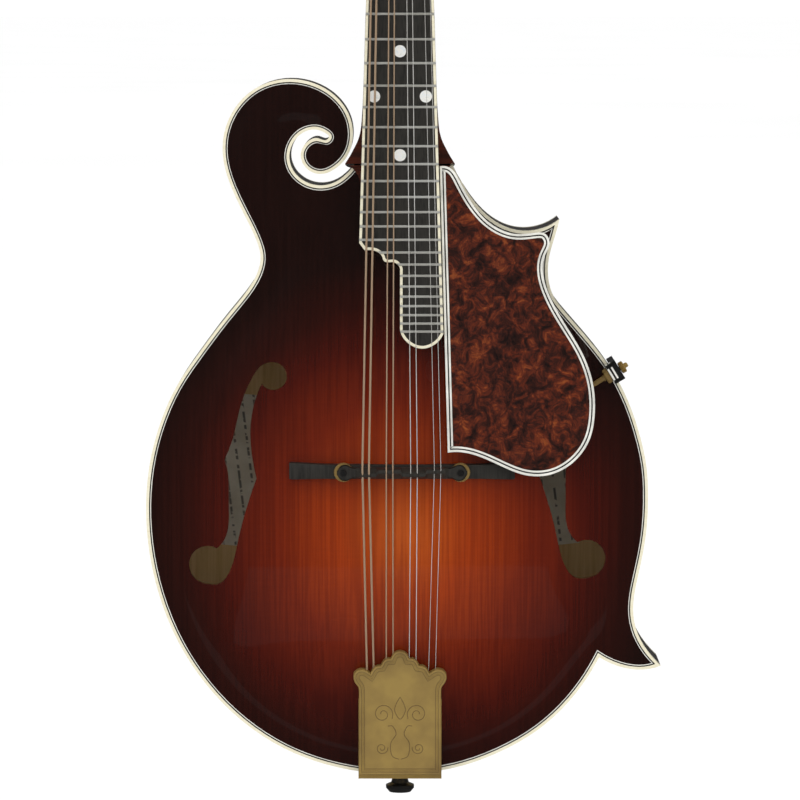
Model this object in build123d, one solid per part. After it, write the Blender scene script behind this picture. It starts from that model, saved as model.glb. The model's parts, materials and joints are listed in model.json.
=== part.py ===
from build123d import *
import math
import os

# An eight-string mandolin. Millimetres. Origin: middle of the nut line, on the face of the fingerboard.
# +Z runs up the body, X across it (treble side positive), +Y from the front to the back.

NECK_TILT = 6.0                 # the neck leans back from the body by this angle
HEAD_TILT = 14.0                # and the headstock by this much more
SCALE_LENGTH = 352.4
FRET_COUNT = 29
FRONT_RIM = -10.5               # height of the soundboard's edge
BACK_RIM = 34.5
TOP_RISE, BACK_RISE = 15.0, 12.0
PLATE = 4.5                     # thickness of the carved plates
JOINT_Z = -203.9                # where the neck meets the body
TAIL_Z = -506.7

BINDING_WIDTH, PURFLING_WIDTH, BINDING_DEPTH = 1.45, 1.0, 5.5
RIB = BINDING_WIDTH + PURFLING_WIDTH
LINING_WIDTH, LINING_DEPTH = 5.0, 9.0
GLUE = 0.2                      # glue line behind the bent linings

BOARD = 5.0                     # fingerboard thickness
NUT_WIDTH, BOARD_TAPER = 26.2, 0.0568
BOARD_TRIM = 1.3
FRET_WIDE, FRET_HIGH, TANG_WIDE, TANG_DEEP = 1.1, 0.9, 0.5, 1.8
DOT_RADIUS = 3.0

VENEER, HEAD_THICK = 2.0, 14.5
POST_ROW, POST_FIRST, POST_PITCH = 19.5, 30.0, 23.0
POST_RADIUS = 2.9
GEAR_RADIUS, GEAR_TEETH, GEAR_THICK = 6.0, 16, 3.0
WORM_DROP, WORM_RADIUS = 9.0, 2.6
PLATE_THICK = 1.2
SHAFT_RADIUS = 1.6
FIT = 0.05

BRIDGE_Z = -353.8
BRIDGE_X = 1.0
BRIDGE_LONG, BRIDGE_DEEP = 111.0, 8.4
BASE_TOP = -30.7
STUD_SPREAD, STUD_RADIUS = 28.7, 1.6
WHEEL_RADIUS, WHEEL_THICK = 4.75, 2.4
WHEEL_FRONT = -34.1
STRING_AT_SADDLE = -40.6
TAIL_PLATE = -15.6              # back of the tailpiece's plate, clear of the arch
HOOK_FRONT = -20.2
COVER_FRONT, COVER_BACK, COVER_WALL = -25.5, -17.2, 1.0

NECK = Rot(X=-NECK_TILT)
HEAD = NECK * Pos(0, 3.0, 4.6) * Rot(X=-HEAD_TILT)

TAIL_SCREWS = [(-14.5, -2.0), (14.5, -2.0), (0, -3.3)]
COVER_SCREWS = [(-5.4, 7.0), (5.4, 7.0), (0, 29.0)]

# guide points of the rim as (x, z), clockwise seen from the front
LOWER_BOUT = [(98.9, -448.1), (91.6, -460.4), (80.9, -473.6), (67.2, -485.5), (50.8, -495.0),
              (29.9, -502.8), (0, -506.7), (-29.9, -503.6), (-57.1, -494.1), (-79.4, -479.3),
              (-97.7, -460.0), (-110.5, -439.7), (-119.5, -417.0), (-124.5, -394.0),
              (-125.8, -372.5), (-123.9, -351.7), (-118.4, -330.9), (-109.5, -311.6),
              (-98.7, -295.8), (-86.0, -279.0), (-75.9, -266.5), (-70.3, -256.8), (-68.8, -249.0),
              (-70.6, -241.5), (-74.9, -232.0), (-79.9, -222.1)]
SCROLL = [(-79.9, -222.1), (-84.2, -212.0), (-86.9, -202.0), (-87.2, -192.0), (-85.0, -183.0),
          (-79.4, -173.4), (-69.0, -165.0), (-54.1, -161.6), (-40.8, -164.3), (-30.5, -171.2),
          (-24.6, -180.4), (-23.2, -190.0), (-25.5, -198.6), (-31.0, -205.0), (-39.2, -208.3),
          (-46.2, -205.4), (-48.9, -198.6), (-46.2, -193.0), (-40.4, -190.7), (-36.2, -191.5),
          (-35.0, -190.0), (-37.0, -188.0), (-41.9, -186.4), (-47.9, -188.0), (-52.5, -192.7),
          (-54.5, -199.4), (-52.9, -206.0), (-47.8, -211.4), (-40.4, -213.9), (-32.6, -212.6),
          (-26.5, -208.4), (-22.5, JOINT_Z)]
NECK_JOINT = [(-22.5, JOINT_Z), (26.0, JOINT_Z)]
UPPER_SIDE = [(26.0, JOINT_Z), (28.4, -209.3), (32.4, -215.9), (38.0, -223.6), (44.3, -229.8),
              (51.6, -234.2), (60.0, -236.3), (69.5, -235.3), (78.6, -230.6)]
WAIST_SIDE = [(78.6, -230.6), (76.2, -239.6), (73.5, -249.5), (73.1, -258.7), (75.6, -268.2),
              (82.3, -277.4), (93.7, -290.6), (105.1, -305.8), (113.0, -321.0), (118.5, -337.0),
              (122.0, -353.0), (122.9, -369.5), (122.0, -386.0), (119.4, -401.4), (116.6, -414.6),
              (115.7, -425.5), (118.0, -436.3), (122.9, -445.0), (129.5, -452.4)]
POINT_SIDE = [(129.5, -452.4), (121.4, -454.3), (111.0, -453.4), (98.9, -448.1)]
RIM = [LOWER_BOUT + SCROLL[1:], NECK_JOINT, UPPER_SIDE, WAIST_SIDE, POINT_SIDE]


# ---------- flat outlines ----------

def flat_curve(points):
    vectors = [Vector(x, z) for x, z in points]
    return Line(*vectors) if len(vectors) == 2 else Spline(*vectors)


def stepped(points):
    """the guide points of a curve, each with the direction that points inward"""
    edge = flat_curve(points)
    marks = []
    for x, z in points:
        share = edge.param_at_point(Vector(x, z))
        spot, along = edge.position_at(share), edge.tangent_at(share)
        marks.append((spot.X, spot.Y, along.Y, -along.X))
    return marks


def crossing(a, b, c, d):
    """where the pieces ab and cd cross, or None"""
    turn = (b[0] - a[0]) * (d[1] - c[1]) - (b[1] - a[1]) * (d[0] - c[0])
    if abs(turn) < 1e-9:
        return None
    along = ((c[0] - a[0]) * (d[1] - c[1]) - (c[1] - a[1]) * (d[0] - c[0])) / turn
    across = ((c[0] - a[0]) * (b[1] - a[1]) - (c[1] - a[1]) * (b[0] - a[0])) / turn
    if 0 <= along <= 1 and 0 <= across <= 1:
        return (a[0] + along * (b[0] - a[0]), a[1] + along * (b[1] - a[1]))
    return None


def moved_in(points, amount, reach=12.0):
    """a guide curve moved inward, with a straight run-on at both ends"""
    marks = stepped(points)
    line = [(x + amount * nx, z + amount * nz) for x, z, nx, nz in marks]
    first, last = marks[0], marks[-1]
    before = (line[0][0] + reach * first[3], line[0][1] - reach * first[2])
    after = (line[-1][0] - reach * last[3], line[-1][1] + reach * last[2])
    return [before] + line + [after]


def inset(curves, amount):
    """a closed chain of guide curves, all moved inward by one amount, cut or carried to their corners"""
    chains = [moved_in(points, amount) for points in curves]
    for index in range(len(chains)):
        one, two = chains[index], chains[(index + 1) % len(chains)]
        best = None
        for i in range(len(one) - 1):
            for j in range(len(two) - 1):
                cost = (len(one) - 2 - i) + j
                if best is None or cost < best[0]:
                    spot = crossing(one[i], one[i + 1], two[j], two[j + 1])
                    if spot:
                        best = (cost, i, j, spot)
        if best is None:        # the two run on smoothly into each other
            i, j = len(one) - 3, 1
            spot = ((one[-2][0] + two[1][0]) / 2, (one[-2][1] + two[1][1]) / 2)
        else:
            _, i, j, spot = best
        chains[index] = one[:i + 1] + [spot]
        if (index + 1) % len(chains) == 0:
            chains[0] = [spot] + chains[0][j + 1:]
        else:
            chains[(index + 1) % len(chains)] = [spot] + two[j + 1:]
    return [tidy(chain) for chain in chains]


def tidy(chain, closest=0.8):
    """leave out points that crowd a corner"""
    kept = [chain[0]]
    for point in chain[1:-1]:
        if math.dist(point, kept[-1]) > closest and math.dist(point, chain[-1]) > closest:
            kept.append(point)
    return kept + [chain[-1]]


def face_of(curves):
    edges = Curve() + [flat_curve(points) for points in curves]
    return make_face(edges)


def rim_face(amount=0.0):
    return face_of(inset(RIM, amount) if amount else RIM)


def prism(face, front, back):
    """a flat outline drawn in x and z, made solid between two depths"""
    return extrude(Plane.XZ.offset(-back) * face, amount=back - front)


def cut_run(points, start, stop):
    """the part of a chain between two places"""
    first = min(range(len(points)), key=lambda i: math.dist(points[i], start)) if start else 0
    last = min(range(len(points)), key=lambda i: math.dist(points[i], stop)) if stop else len(points) - 1
    return points[first:last + 1]


def side_run(index, amount, start=None, stop=None):
    if amount:
        chain = inset(RIM, amount)[index]
    else:
        chain = [(x, z) for x, z, _, _ in stepped(RIM[index])]
    return cut_run(chain, start, stop)


def side_strip(index, outer, inner, front, back, start=None, stop=None):
    """a bent strip that follows one side of the rim, mitred at the corners"""
    out = side_run(index, outer, start, stop)
    ins = side_run(index, inner, start, stop)
    face = face_of([out, [out[-1], ins[-1]], ins[::-1], [ins[0], out[0]]])
    return prism(face, front, back)


def block(x0, x1, y0, y1, z0, z1):
    return Pos((x0 + x1) / 2, (y0 + y1) / 2, (z0 + z1) / 2) * Box(x1 - x0, y1 - y0, z1 - z0)


def rod_y(radius, front, back, x=0.0, z=0.0):
    """a round rod along Y"""
    return Pos(x, (front + back) / 2, z) * Rot(X=90) * Cylinder(radius, back - front)


def rod_x(radius, left, right, y=0.0, z=0.0):
    return Pos((left + right) / 2, y, z) * Rot(Y=90) * Cylinder(radius, right - left)


# ---------- the carved arch ----------

def dome(base, rise, radius, middle):
    """a carved swelling that rises gently from the plate; rise is negative on the front"""
    profile = [(0, rise), (radius * 0.35, rise * 0.86), (radius * 0.7, rise * 0.42), (radius, 0)]
    slope = -rise / radius
    edge = Spline(*[Vector(r, y) for r, y in profile], tangents=[(1, 0), (1, slope)])
    half = make_face(edge + Polyline((radius, 0), (0, 0), (0, rise)))
    return Pos(0, base, middle) * revolve(half, Axis.Y)


def swellings(base, rise):
    """the big dome under the bridge and the small one toward the neck"""
    return dome(base, rise, 104.0, -372.0) + dome(base, rise * 0.42, 52.0, -272.0)


def f_hole(mirror=False):
    """sound hole: two round eyes joined by a slim stem with a nick on each side"""
    outer_top = [(-62.6, -300.9), (-68.0, -302.4), (-73.3, -309.4), (-78.2, -320.9), (-81.6, -335.0),
                 (-86.6, -348.8)]
    outer_low = [(-86.6, -348.8), (-84.9, -356.5), (-84.6, -371.0), (-86.4, -388.0), (-90.9, -393.5)]
    inner_low = [(-95.0, -411.2), (-88.4, -410.2), (-83.9, -403.7), (-79.8, -388.0), (-74.9, -370.1),
                 (-70.8, -358.2)]
    inner_top = [(-70.8, -358.2), (-73.0, -347.0), (-73.6, -330.7), (-71.4, -319.5), (-67.8, -310.7)]
    stem = face_of([outer_top, outer_low, [(-90.9, -393.5), (-95.0, -401.7)],
                    [(-95.0, -401.7), (-95.0, -411.2)], inner_low, inner_top,
                    [(-67.8, -310.7), (-62.6, -307.7)], [(-62.6, -307.7), (-62.6, -300.9)]])
    hole = prism(stem, -60, 20)
    hole += rod_y(6.8, -60, 20, -62.6, -307.7)
    hole += rod_y(9.5, -60, 20, -95.0, -401.7)
    if mirror:
        hole = Pos(-2.8, 0, 3.1) * hole.mirror(Plane.YZ)
    return hole


def arched_plate(base, rise):
    """a plate of even thickness; rise is negative on the front"""
    flat = prism(rim_face(RIB), base, base + PLATE)
    shift = PLATE if rise < 0 else -PLATE
    start = base if rise < 0 else base + PLATE
    return flat + swellings(start, rise) - swellings(start + shift, rise)


# ---------- the body ----------

def ring_band(outer, inner, front, back):
    ring = Face(rim_face(outer).face().outer_wire(), [rim_face(inner).face().outer_wire()])
    return prism(ring, front, back)


def head_block_shape():
    region = face_of([[(-110, -222.1), (-110, -150)], [(-110, -150), (30, -150)], [(30, -150), (30, -213)],
                      [(30, -213), (20, -246), (-8, -250), (-50, -240), (-79, -222.1)],
                      [(-79, -222.1), (-110, -222.1)]])
    low = FRONT_RIM + BINDING_DEPTH
    high = BACK_RIM - BINDING_DEPTH
    whole = prism(rim_face(), low, high) + prism(rim_face(RIB), FRONT_RIM + PLATE, BACK_RIM - PLATE)
    return whole & prism(region, -40, 60)


def corner_block(corner, depth):
    """fills a pointed corner of the rim, inside the ribs"""
    inner = prism(rim_face(RIB), FRONT_RIM + PLATE, BACK_RIM - PLATE)
    return inner & rod_y(depth, -40, 60, *corner)


# ---------- neck, fingerboard, headstock ----------

def board_half(along):
    return (NUT_WIDTH + BOARD_TAPER * along) / 2


def board_outline():
    start, left, right = board_half(0), board_half(242.9), board_half(287.4)
    return [[(-start, 0), (start, 0)], [(start, 0), (right, -287.4)],
            [(right, -287.4), (16.8, -292.8), (10.7, -294.7), (4.6, -292.5), (1.3, -289.0), (0, -285.9)],
            [(0, -285.9), (0, -256.7)],
            [(0, -256.7), (-1.0, -253.6), (-3.3, -252.3), (-6.9, -252.2), (-8.4, -250.8)],
            [(-8.4, -250.8), (-10.4, -247.6), (-13.6, -246.4), (-17.3, -246.5)],
            [(-17.3, -246.5), (-left, -242.9)], [(-left, -242.9), (-start, 0)]]


def fret_place(number):
    return SCALE_LENGTH * (1 - 2 ** (-number / 12))


def neck_section(along, half_width, depth, fullness):
    """D-shaped slice of the neck, flat side to the fingerboard"""
    top = BOARD
    drop = depth - top
    shape = [(half_width, top), (half_width * (0.94 * fullness + 0.03), top + 0.30 * drop),
             (half_width * 0.74 * fullness, top + 0.72 * drop), (half_width * 0.30, top + 0.97 * drop)]
    left = [(-x, y) for x, y in reversed(shape)]
    curve = Spline(*[Vector(x, y) for x, y in shape + left])
    face = make_face(curve + Line(Vector(-half_width, top), Vector(half_width, top)))
    return Pos(0, 0, -along) * face


def neck_shaft():
    slices = [(-4.6, 13.1, 18.5, 1.0), (20, board_half(20), 18.8, 1.0), (90, board_half(90), 19.8, 1.0),
              (160, board_half(160), 21.0, 1.0), (180, board_half(180) + 0.3, 24.5, 0.97),
              (190, 19.4, 33.0, 0.88), (198, 21.8, 45.0, 0.80), (205, 25.0, 56.0, 0.72),
              (212, 27.0, 66.0, 0.68)]
    shaft = loft([neck_section(*one) for one in slices], ruled=True)
    shaft = NECK * shaft
    shaft -= block(-60, 60, -80, 120, -260, JOINT_Z)
    shaft -= block(-60, 60, BACK_RIM - 3.0, 150, -260, -100)
    return shaft


def tenon():
    return block(-11, 11, -3.0, 26.0, JOINT_Z - 18, JOINT_Z)


HEAD_OUTLINE = [
    [(-13.1, 0), (13.1, 0)],
    [(13.1, 0), (16.5, 5.5), (24.5, 12.0), (28.9, 22.0), (29.8, 45.0), (30.2, 80.0), (31.2, 104.0),
     (38.0, 118.0)],
    [(38.0, 118.0), (28.0, 122.5), (19.0, 131.0), (11.0, 142.0), (2.0, 152.0)],
    [(2.0, 152.0), (-4.5, 145.5), (-14.0, 149.0), (-25.5, 148.0), (-34.0, 139.5), (-36.0, 128.5),
     (-32.5, 117.0), (-30.6, 104.0), (-30.2, 80.0), (-29.8, 45.0), (-28.9, 22.0), (-24.5, 12.0),
     (-16.5, 5.5), (-13.1, 0)]]


def head_outline():
    """the chain runs the other way round, so it is turned to put its inside on the right"""
    return [points[::-1] for points in HEAD_OUTLINE[::-1]]


def head_posts():
    return [(side * POST_ROW, POST_FIRST + POST_PITCH * row) for side in (-1, 1) for row in range(4)]


def headstock_core():
    core = prism(face_of(head_outline()), VENEER, HEAD_THICK)
    for x, z in head_posts():
        core -= rod_y(4.25, VENEER - 1, 6.0, x, z)
        core -= rod_y(3.3, 5.0, HEAD_THICK + 1, x, z)
    core -= prism(face_of([[(-4, 5), (4, 5)], [(4, 5), (4, 28), (0, 32), (-4, 28), (-4, 5)]]), 0, 7.5)
    return HEAD * core


# ---------- tuners ----------

def tuner_plate(side):
    middle = side * POST_ROW
    low, high = POST_FIRST - 15, POST_FIRST + 3 * POST_PITCH + 9
    back = HEAD_THICK + PLATE_THICK
    plate = block(middle - 8.2, middle + 8.2, HEAD_THICK, back, low, high)
    plate = fillet(plate.edges().filter_by(Axis.Y), 3.0)
    worm_depth = back + 0.3 + GEAR_THICK / 2
    for row in range(4):
        z = POST_FIRST + POST_PITCH * row
        for x0, x1 in ((middle - 7.8, middle - 6.4), (middle + 6.4, middle + 7.8)):
            lug = block(x0, x1, back - 0.2, worm_depth, z - WORM_DROP - 2.6, z - WORM_DROP + 2.6)
            lug += rod_x(2.6, x0, x1, worm_depth, z - WORM_DROP)
            plate += lug
        plate -= rod_x(SHAFT_RADIUS + FIT, middle - 12, middle + 12, worm_depth, z - WORM_DROP)
        plate -= rod_x(WORM_RADIUS + 0.25, middle - 6.2, middle + 6.2, worm_depth, z - WORM_DROP)
        plate -= rod_y(POST_RADIUS + FIT, 0, 40, middle, z)
    return HEAD * plate


def ferrule(x, z):
    cup = rod_y(5.2, -1.1, 0, x, z) + rod_y(4.25, -0.2, 6.0, x, z)
    return HEAD * (cup - rod_y(POST_RADIUS + FIT, -5, 12, x, z))


def tuner_post(x, z):
    """post, its gear and the turns of string wound on it"""
    back = HEAD_THICK + PLATE_THICK
    post = rod_y(POST_RADIUS, -11.5, back + 0.3 + GEAR_THICK + 0.8, x, z)
    gear = rod_y(GEAR_RADIUS, back + 0.3, back + 0.3 + GEAR_THICK, x, z)
    screw = rod_y(2.4, back + 0.3 + GEAR_THICK, back + 1.6 + GEAR_THICK, x, z)
    screw -= Pos(x, back + 1.7 + GEAR_THICK, z) * Box(6, 0.9, 0.7)
    shape = post + gear + screw
    shape -= rod_x(0.9, x - 6, x + 6, -6.0, z)
    gauge = string_gauge(x, z)
    shape += rod_y(POST_RADIUS + 0.9 * gauge, -5.0 - 1.5 * gauge, -5.0 + 1.5 * gauge, x, z)
    return HEAD * shape


def tuner_key(x, z):
    """worm spindle with its button outside the edge of the headstock"""
    side = 1 if x > 0 else -1
    depth = HEAD_THICK + PLATE_THICK + 0.3 + GEAR_THICK / 2
    height = z - WORM_DROP
    inner, outer = x - side * 7.8, x + side * 16.5
    key = rod_x(SHAFT_RADIUS, min(inner, outer), max(inner, outer), depth, height)
    key += rod_x(WORM_RADIUS, x - 5.8, x + 5.8, depth, height)
    collar = x + side * 8.8
    key += rod_x(2.3, collar - 0.5, collar + 0.5, depth, height)
    button = Pos(x + side * 21.0, depth, height) * Box(11.0, 6.0, 13.0)
    button = fillet(button.edges().filter_by(Axis.Y), 3.2)
    button = chamfer(button.edges().filter_by(Axis.Y, reverse=True), 0.8)
    return HEAD * (key + button)


# ---------- strings ----------

COURSES = [("G", -10.8, -16.8, -14.3, 1.02), ("D", -3.6, -5.1, -5.1, 0.66),
           ("A", 3.6, 6.85, 6.1, 0.41), ("E", 10.8, 18.4, 15.4, 0.28)]
POST_OF = {("G", -1): (-POST_ROW, POST_FIRST), ("G", 1): (-POST_ROW, POST_FIRST + POST_PITCH),
           ("D", -1): (-POST_ROW, POST_FIRST + 2 * POST_PITCH),
           ("D", 1): (-POST_ROW, POST_FIRST + 3 * POST_PITCH),
           ("A", -1): (POST_ROW, POST_FIRST + 3 * POST_PITCH),
           ("A", 1): (POST_ROW, POST_FIRST + 2 * POST_PITCH),
           ("E", -1): (POST_ROW, POST_FIRST + POST_PITCH), ("E", 1): (POST_ROW, POST_FIRST)}


def string_gauge(x, z):
    for name, _, _, _, gauge in COURSES:
        for side in (-1, 1):
            if math.dist(POST_OF[(name, side)], (x, z)) < 1:
                return gauge


def world(frame, x, y, z):
    return (frame * Pos(x, y, z)).position


def string_route(name, side):
    """from the hook under the tailpiece cover, over saddle and nut, to the inner side of its post"""
    for course, at_nut, at_saddle, at_tail, gauge in COURSES:
        if course == name:
            break
    half = gauge / 2
    saddle_z = BRIDGE_Z + 2.0
    x, z = POST_OF[(name, side)]
    reach = POST_RADIUS + gauge * 0.92 + half + 0.08
    inner = -1 if x > 0 else 1
    hook = Vector(at_tail + 1.7 * side, HOOK_FRONT + 1.6, -470.0)
    saddle = Vector(at_saddle + 1.6 * side, STRING_AT_SADDLE, saddle_z)
    over_nut = world(NECK, at_nut + 1.25 * side, -1.3 - half, 1.5)
    off_nut = world(NECK, at_nut + 1.25 * side, -1.2 - half, 4.2)
    end = world(HEAD, x + inner * reach, -5.0, z)
    return [hook, saddle, over_nut, off_nut, end], half


def string_wire(name, side):
    points, half = string_route(name, side)
    solids = []
    for start, stop in zip(points, points[1:]):
        run = stop - start
        solids.append(Plane(origin=start, z_dir=run) * Pos(0, 0, run.length / 2)
                      * Cylinder(half, run.length))
    for joint in points[1:-1]:
        solids.append(Pos(*joint) * Sphere(half))
    wire = solids[0]
    for piece in solids[1:]:
        wire += piece
    return wire


# ---------- bridge ----------

def bridge_base(behind):
    base = block(BRIDGE_X - BRIDGE_LONG / 2, BRIDGE_X + BRIDGE_LONG / 2, BASE_TOP, -5,
                 BRIDGE_Z - BRIDGE_DEEP / 2, BRIDGE_Z + BRIDGE_DEEP / 2)
    for side in (-1, 1):
        end = BRIDGE_X + side * BRIDGE_LONG / 2
        slope = Pos(end, BASE_TOP - 0.8, BRIDGE_Z) * Rot(Y=0) * Rot(Z=side * 12) * Box(38, 7, 12)
        base -= slope
    base -= block(BRIDGE_X - 17, BRIDGE_X + 17, -27.2, 0, BRIDGE_Z - 10, BRIDGE_Z + 10)
    base -= behind
    for side in (-1, 1):
        base -= rod_y(STUD_RADIUS, -40, -26.2, BRIDGE_X + side * STUD_SPREAD, BRIDGE_Z)
    return base


def saddle_stud(side):
    return rod_y(STUD_RADIUS, -37.6, -26.2, BRIDGE_X + side * STUD_SPREAD, BRIDGE_Z)


def thumbwheel(side):
    x = BRIDGE_X + side * STUD_SPREAD
    wheel = rod_y(WHEEL_RADIUS, WHEEL_FRONT, WHEEL_FRONT + WHEEL_THICK, x, BRIDGE_Z)
    return wheel - rod_y(STUD_RADIUS + FIT, -50, 0, x, BRIDGE_Z)


def string_slots(name, side):
    """room for a string along both its runs over the saddle, open at the front"""
    points, half = string_route(name, side)
    slots = []
    for start, stop in zip(points[:2], points[1:3]):
        run = Plane(origin=points[1], x_dir=(1, 0, 0), z_dir=stop - start)
        slots.append(run * Pos(0, half + 0.04 - 4, 0) * Box(2 * half + 0.16, 8, 20))
    return slots[0] + slots[1]


def bridge_saddle():
    crest, low = STRING_AT_SADDLE, WHEEL_FRONT
    left, right = BRIDGE_X - 23.0, BRIDGE_X + 23.0
    profile = [[(left, low), (right, low)], [(right, low), (right, -36.6)],
               [(right, -36.6), (21.6, -38.6), (20.6, crest)], [(20.6, crest), (-19.0, crest)],
               [(-19.0, crest), (-20.0, -38.6), (left, -36.6)], [(left, -36.6), (left, low)]]
    front = make_face(Curve() + [Spline(*[Vector(*p) for p in run]) if len(run) > 2 else
                                 Line(Vector(*run[0]), Vector(*run[1])) for run in profile])
    body = Pos(0, 0, BRIDGE_Z - 2.6) * extrude(front, amount=5.2)
    wedge = block(-60, 60, -50, -36.9, -4, 4)
    for side in (-1, 1):
        body -= Pos(0, 0, BRIDGE_Z + side * 6.0) * Pos(0, 0, 0) * Pos(0, -36.9, 0) * Rot(X=-side * 14) \
            * Pos(0, 36.9, 0) * wedge
    for side in (-1, 1):
        ear = rod_y(3.5, -36.6, low, BRIDGE_X + side * STUD_SPREAD, BRIDGE_Z)
        x0, x1 = BRIDGE_X + side * 22.0, BRIDGE_X + side * STUD_SPREAD
        ear += block(min(x0, x1), max(x0, x1), -36.6, low, BRIDGE_Z - 2.6, BRIDGE_Z + 2.6)
        body += ear
    for side in (-1, 1):
        body -= rod_y(STUD_RADIUS + 0.08, -60, 0, BRIDGE_X + side * STUD_SPREAD, BRIDGE_Z)
    for name, _, at_saddle, _, gauge in COURSES:
        for side in (-1, 1):
            body -= string_slots(name, side)
    return body


# ---------- tailpiece ----------

def cover_outline():
    """the lid's outline; the right half is drawn from the crown down and mirrored"""
    right = [[(0, -443.4), (3.4, -445.2), (5.8, -447.2)], [(5.8, -447.2), (8.2, -449.4), (11.2, -450.4)],
             [(11.2, -450.4), (13.2, -453.2), (14.8, -453.6)],
             [(14.8, -453.6), (18.2, -452.8), (21.2, -453.2), (23.0, -456.0), (21.6, -459.6), (20.3, -463.2)],
             [(20.3, -463.2), (20.3, -504.6)]]
    left = [[(-x, z) for x, z in reversed(run)] for run in reversed(right)]
    return left + right + [[(20.3, -504.6), (-20.3, -504.6)]]


def tailpiece_cover():
    outline = cover_outline()
    shell = prism(face_of(outline), COVER_FRONT, COVER_BACK)
    shell -= prism(face_of(inset(outline, COVER_WALL)), COVER_FRONT + COVER_WALL, COVER_BACK + 1)
    shell -= block(-18.4, 18.4, COVER_FRONT + COVER_WALL, COVER_BACK + 1, -470, -440)
    return shell - block(-30, 30, COVER_FRONT + 4.5, COVER_BACK + 1, -468, -440)


def tailpiece_base():
    front = TAIL_PLATE - 1.2
    flat = block(-20.6, 20.6, front, TAIL_PLATE, TAIL_Z - 1.3, -468)
    down = block(-20.6, 20.6, front, 22.0, TAIL_Z - 1.3, TAIL_Z - 0.1)
    base = flat + down
    base -= rod_z(3.8, TAIL_Z - 5, TAIL_Z + 5, 0, 12.0)
    for x, y in TAIL_SCREWS:
        base -= rod_z(1.3, TAIL_Z - 5, TAIL_Z + 5, x, y)
    for name, _, _, at_tail, gauge in COURSES:
        for side in (-1, 1):
            x = at_tail + 1.7 * side
            base += block(x - 0.55, x + 0.55, HOOK_FRONT, TAIL_PLATE - 0.1, -476.6, -475.0)
    return base


def rod_z(radius, low, high, x=0.0, y=0.0):
    return Pos(x, y, (low + high) / 2) * Cylinder(radius, high - low)


def tailpiece_screws():
    group = []
    for x, y in TAIL_SCREWS:
        screw = rod_z(1.3, TAIL_Z - 1.3, TAIL_Z + 11, x, y)
        screw += Pos(x, y, TAIL_Z - 1.3) * Sphere(2.3) & block(x - 3, x + 3, y - 3, y + 3,
                                                              TAIL_Z - 3.0, TAIL_Z - 1.3)
        group.append(screw)
    return group


def end_pin():
    """strap button: ribbed collar, waist and round head"""
    low = TAIL_Z - 1.3
    profile = [(0, low + 1.2), (3.7, low + 1.2), (3.7, low), (5.4, low), (5.4, low - 1.8), (3.7, low - 3.4),
               (4.4, low - 6.2), (7.05, low - 7.4), (7.05, low - 9.0), (5.4, low - 11.0), (0, low - 11.6)]
    half = make_face(Polyline(*[Vector(r, 0, z) for r, z in profile], close=True))
    pin = Pos(0, 12.0, 0) * revolve(half, Axis.Z)
    return pin + rod_z(3.6, low, TAIL_Z + 16, 0, 12.0)


# ---------- finger rest ----------

GUARD = [[(19.5, -205.1), (23.4, -345.7)][::-1],
         [(19.5, -205.1), (24.8, -206.1), (29.4, -212.7), (36.4, -224.8), (45.5, -234.1), (56.0, -238.3),
          (66.0, -237.8), (71.0, -238.2), (73.4, -242.6), (71.2, -248.8), (70.0, -256.6), (72.7, -267.2),
          (81.3, -283.2), (89.6, -297.2), (94.6, -311.9), (95.5, -326.0), (92.6, -340.1), (84.6, -350.7),
          (72.7, -356.7), (61.5, -356.7), (48.3, -351.7), (35.0, -346.4), (23.4, -345.7)]]
GUARD_FRONT, GUARD_BACK = 1.5, 4.0


def guard_piece(outer, inner, front, back):
    piece = prism(face_of(inset(GUARD, outer) if outer else GUARD), front, back)
    if inner:
        piece -= prism(face_of(inset(GUARD, inner)), front - 1, back + 1)
    return NECK * piece


ROD_START, ROD_WAY = (94.2, -312.6), (0.855, 0.518)


def along_rod(distance, aside=0.0):
    return (ROD_START[0] + distance * ROD_WAY[0] - aside * ROD_WAY[1],
            ROD_START[1] + distance * ROD_WAY[1] + aside * ROD_WAY[0])


def clamp_bar(start, stop, half, front, back):
    """a block square to the rod, placed by distances along it"""
    corners = [along_rod(start, -half), along_rod(start, half), along_rod(stop, half),
               along_rod(stop, -half)]
    runs = [[corners[i], corners[(i + 1) % 4]] for i in range(4)]
    return prism(face_of(runs), front, back)


ROD_DEPTH = -16.0


def guard_rod():
    """rod under the finger rest, its post up to the plate, and the two nuts of the clamp"""
    angle = math.degrees(math.atan2(ROD_WAY[1], ROD_WAY[0]))
    frame = Pos(ROD_START[0], ROD_DEPTH, ROD_START[1]) * Rot(Y=90 - angle)
    rod = frame * Pos(0, 0, 4.0) * Cylinder(1.25, 34.0)
    x, z = along_rod(-11.5)
    post = rod_y(2.2, -40, ROD_DEPTH + 2.2, x, z) - NECK * block(-200, 200, -60, GUARD_BACK, -400, 0)
    rod += post.solids()[0]
    rod += clamp_bar(8.2, 10.8, 3.3, ROD_DEPTH - 3.3, ROD_DEPTH + 3.3)
    return rod + clamp_bar(16.5, 18.9, 3.1, ROD_DEPTH - 3.1, ROD_DEPTH + 3.1)


def guard_clamp():
    clamp = clamp_bar(11.0, 16.4, 5.1, -21.0, FRONT_RIM)
    clamp += clamp_bar(14.2, 16.4, 5.1, FRONT_RIM - 1, 14.0) + clamp_bar(13.1, 14.3, 5.1, -5.0, 14.0)
    angle = math.degrees(math.atan2(ROD_WAY[1], ROD_WAY[0]))
    hole = Pos(ROD_START[0], ROD_DEPTH, ROD_START[1]) * Rot(Y=90 - angle) * Pos(0, 0, 3.0) \
        * Cylinder(1.25, 36.0)
    return clamp - hole - prism(rim_face(), FRONT_RIM, 60)


# ---------- everything ----------

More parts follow.
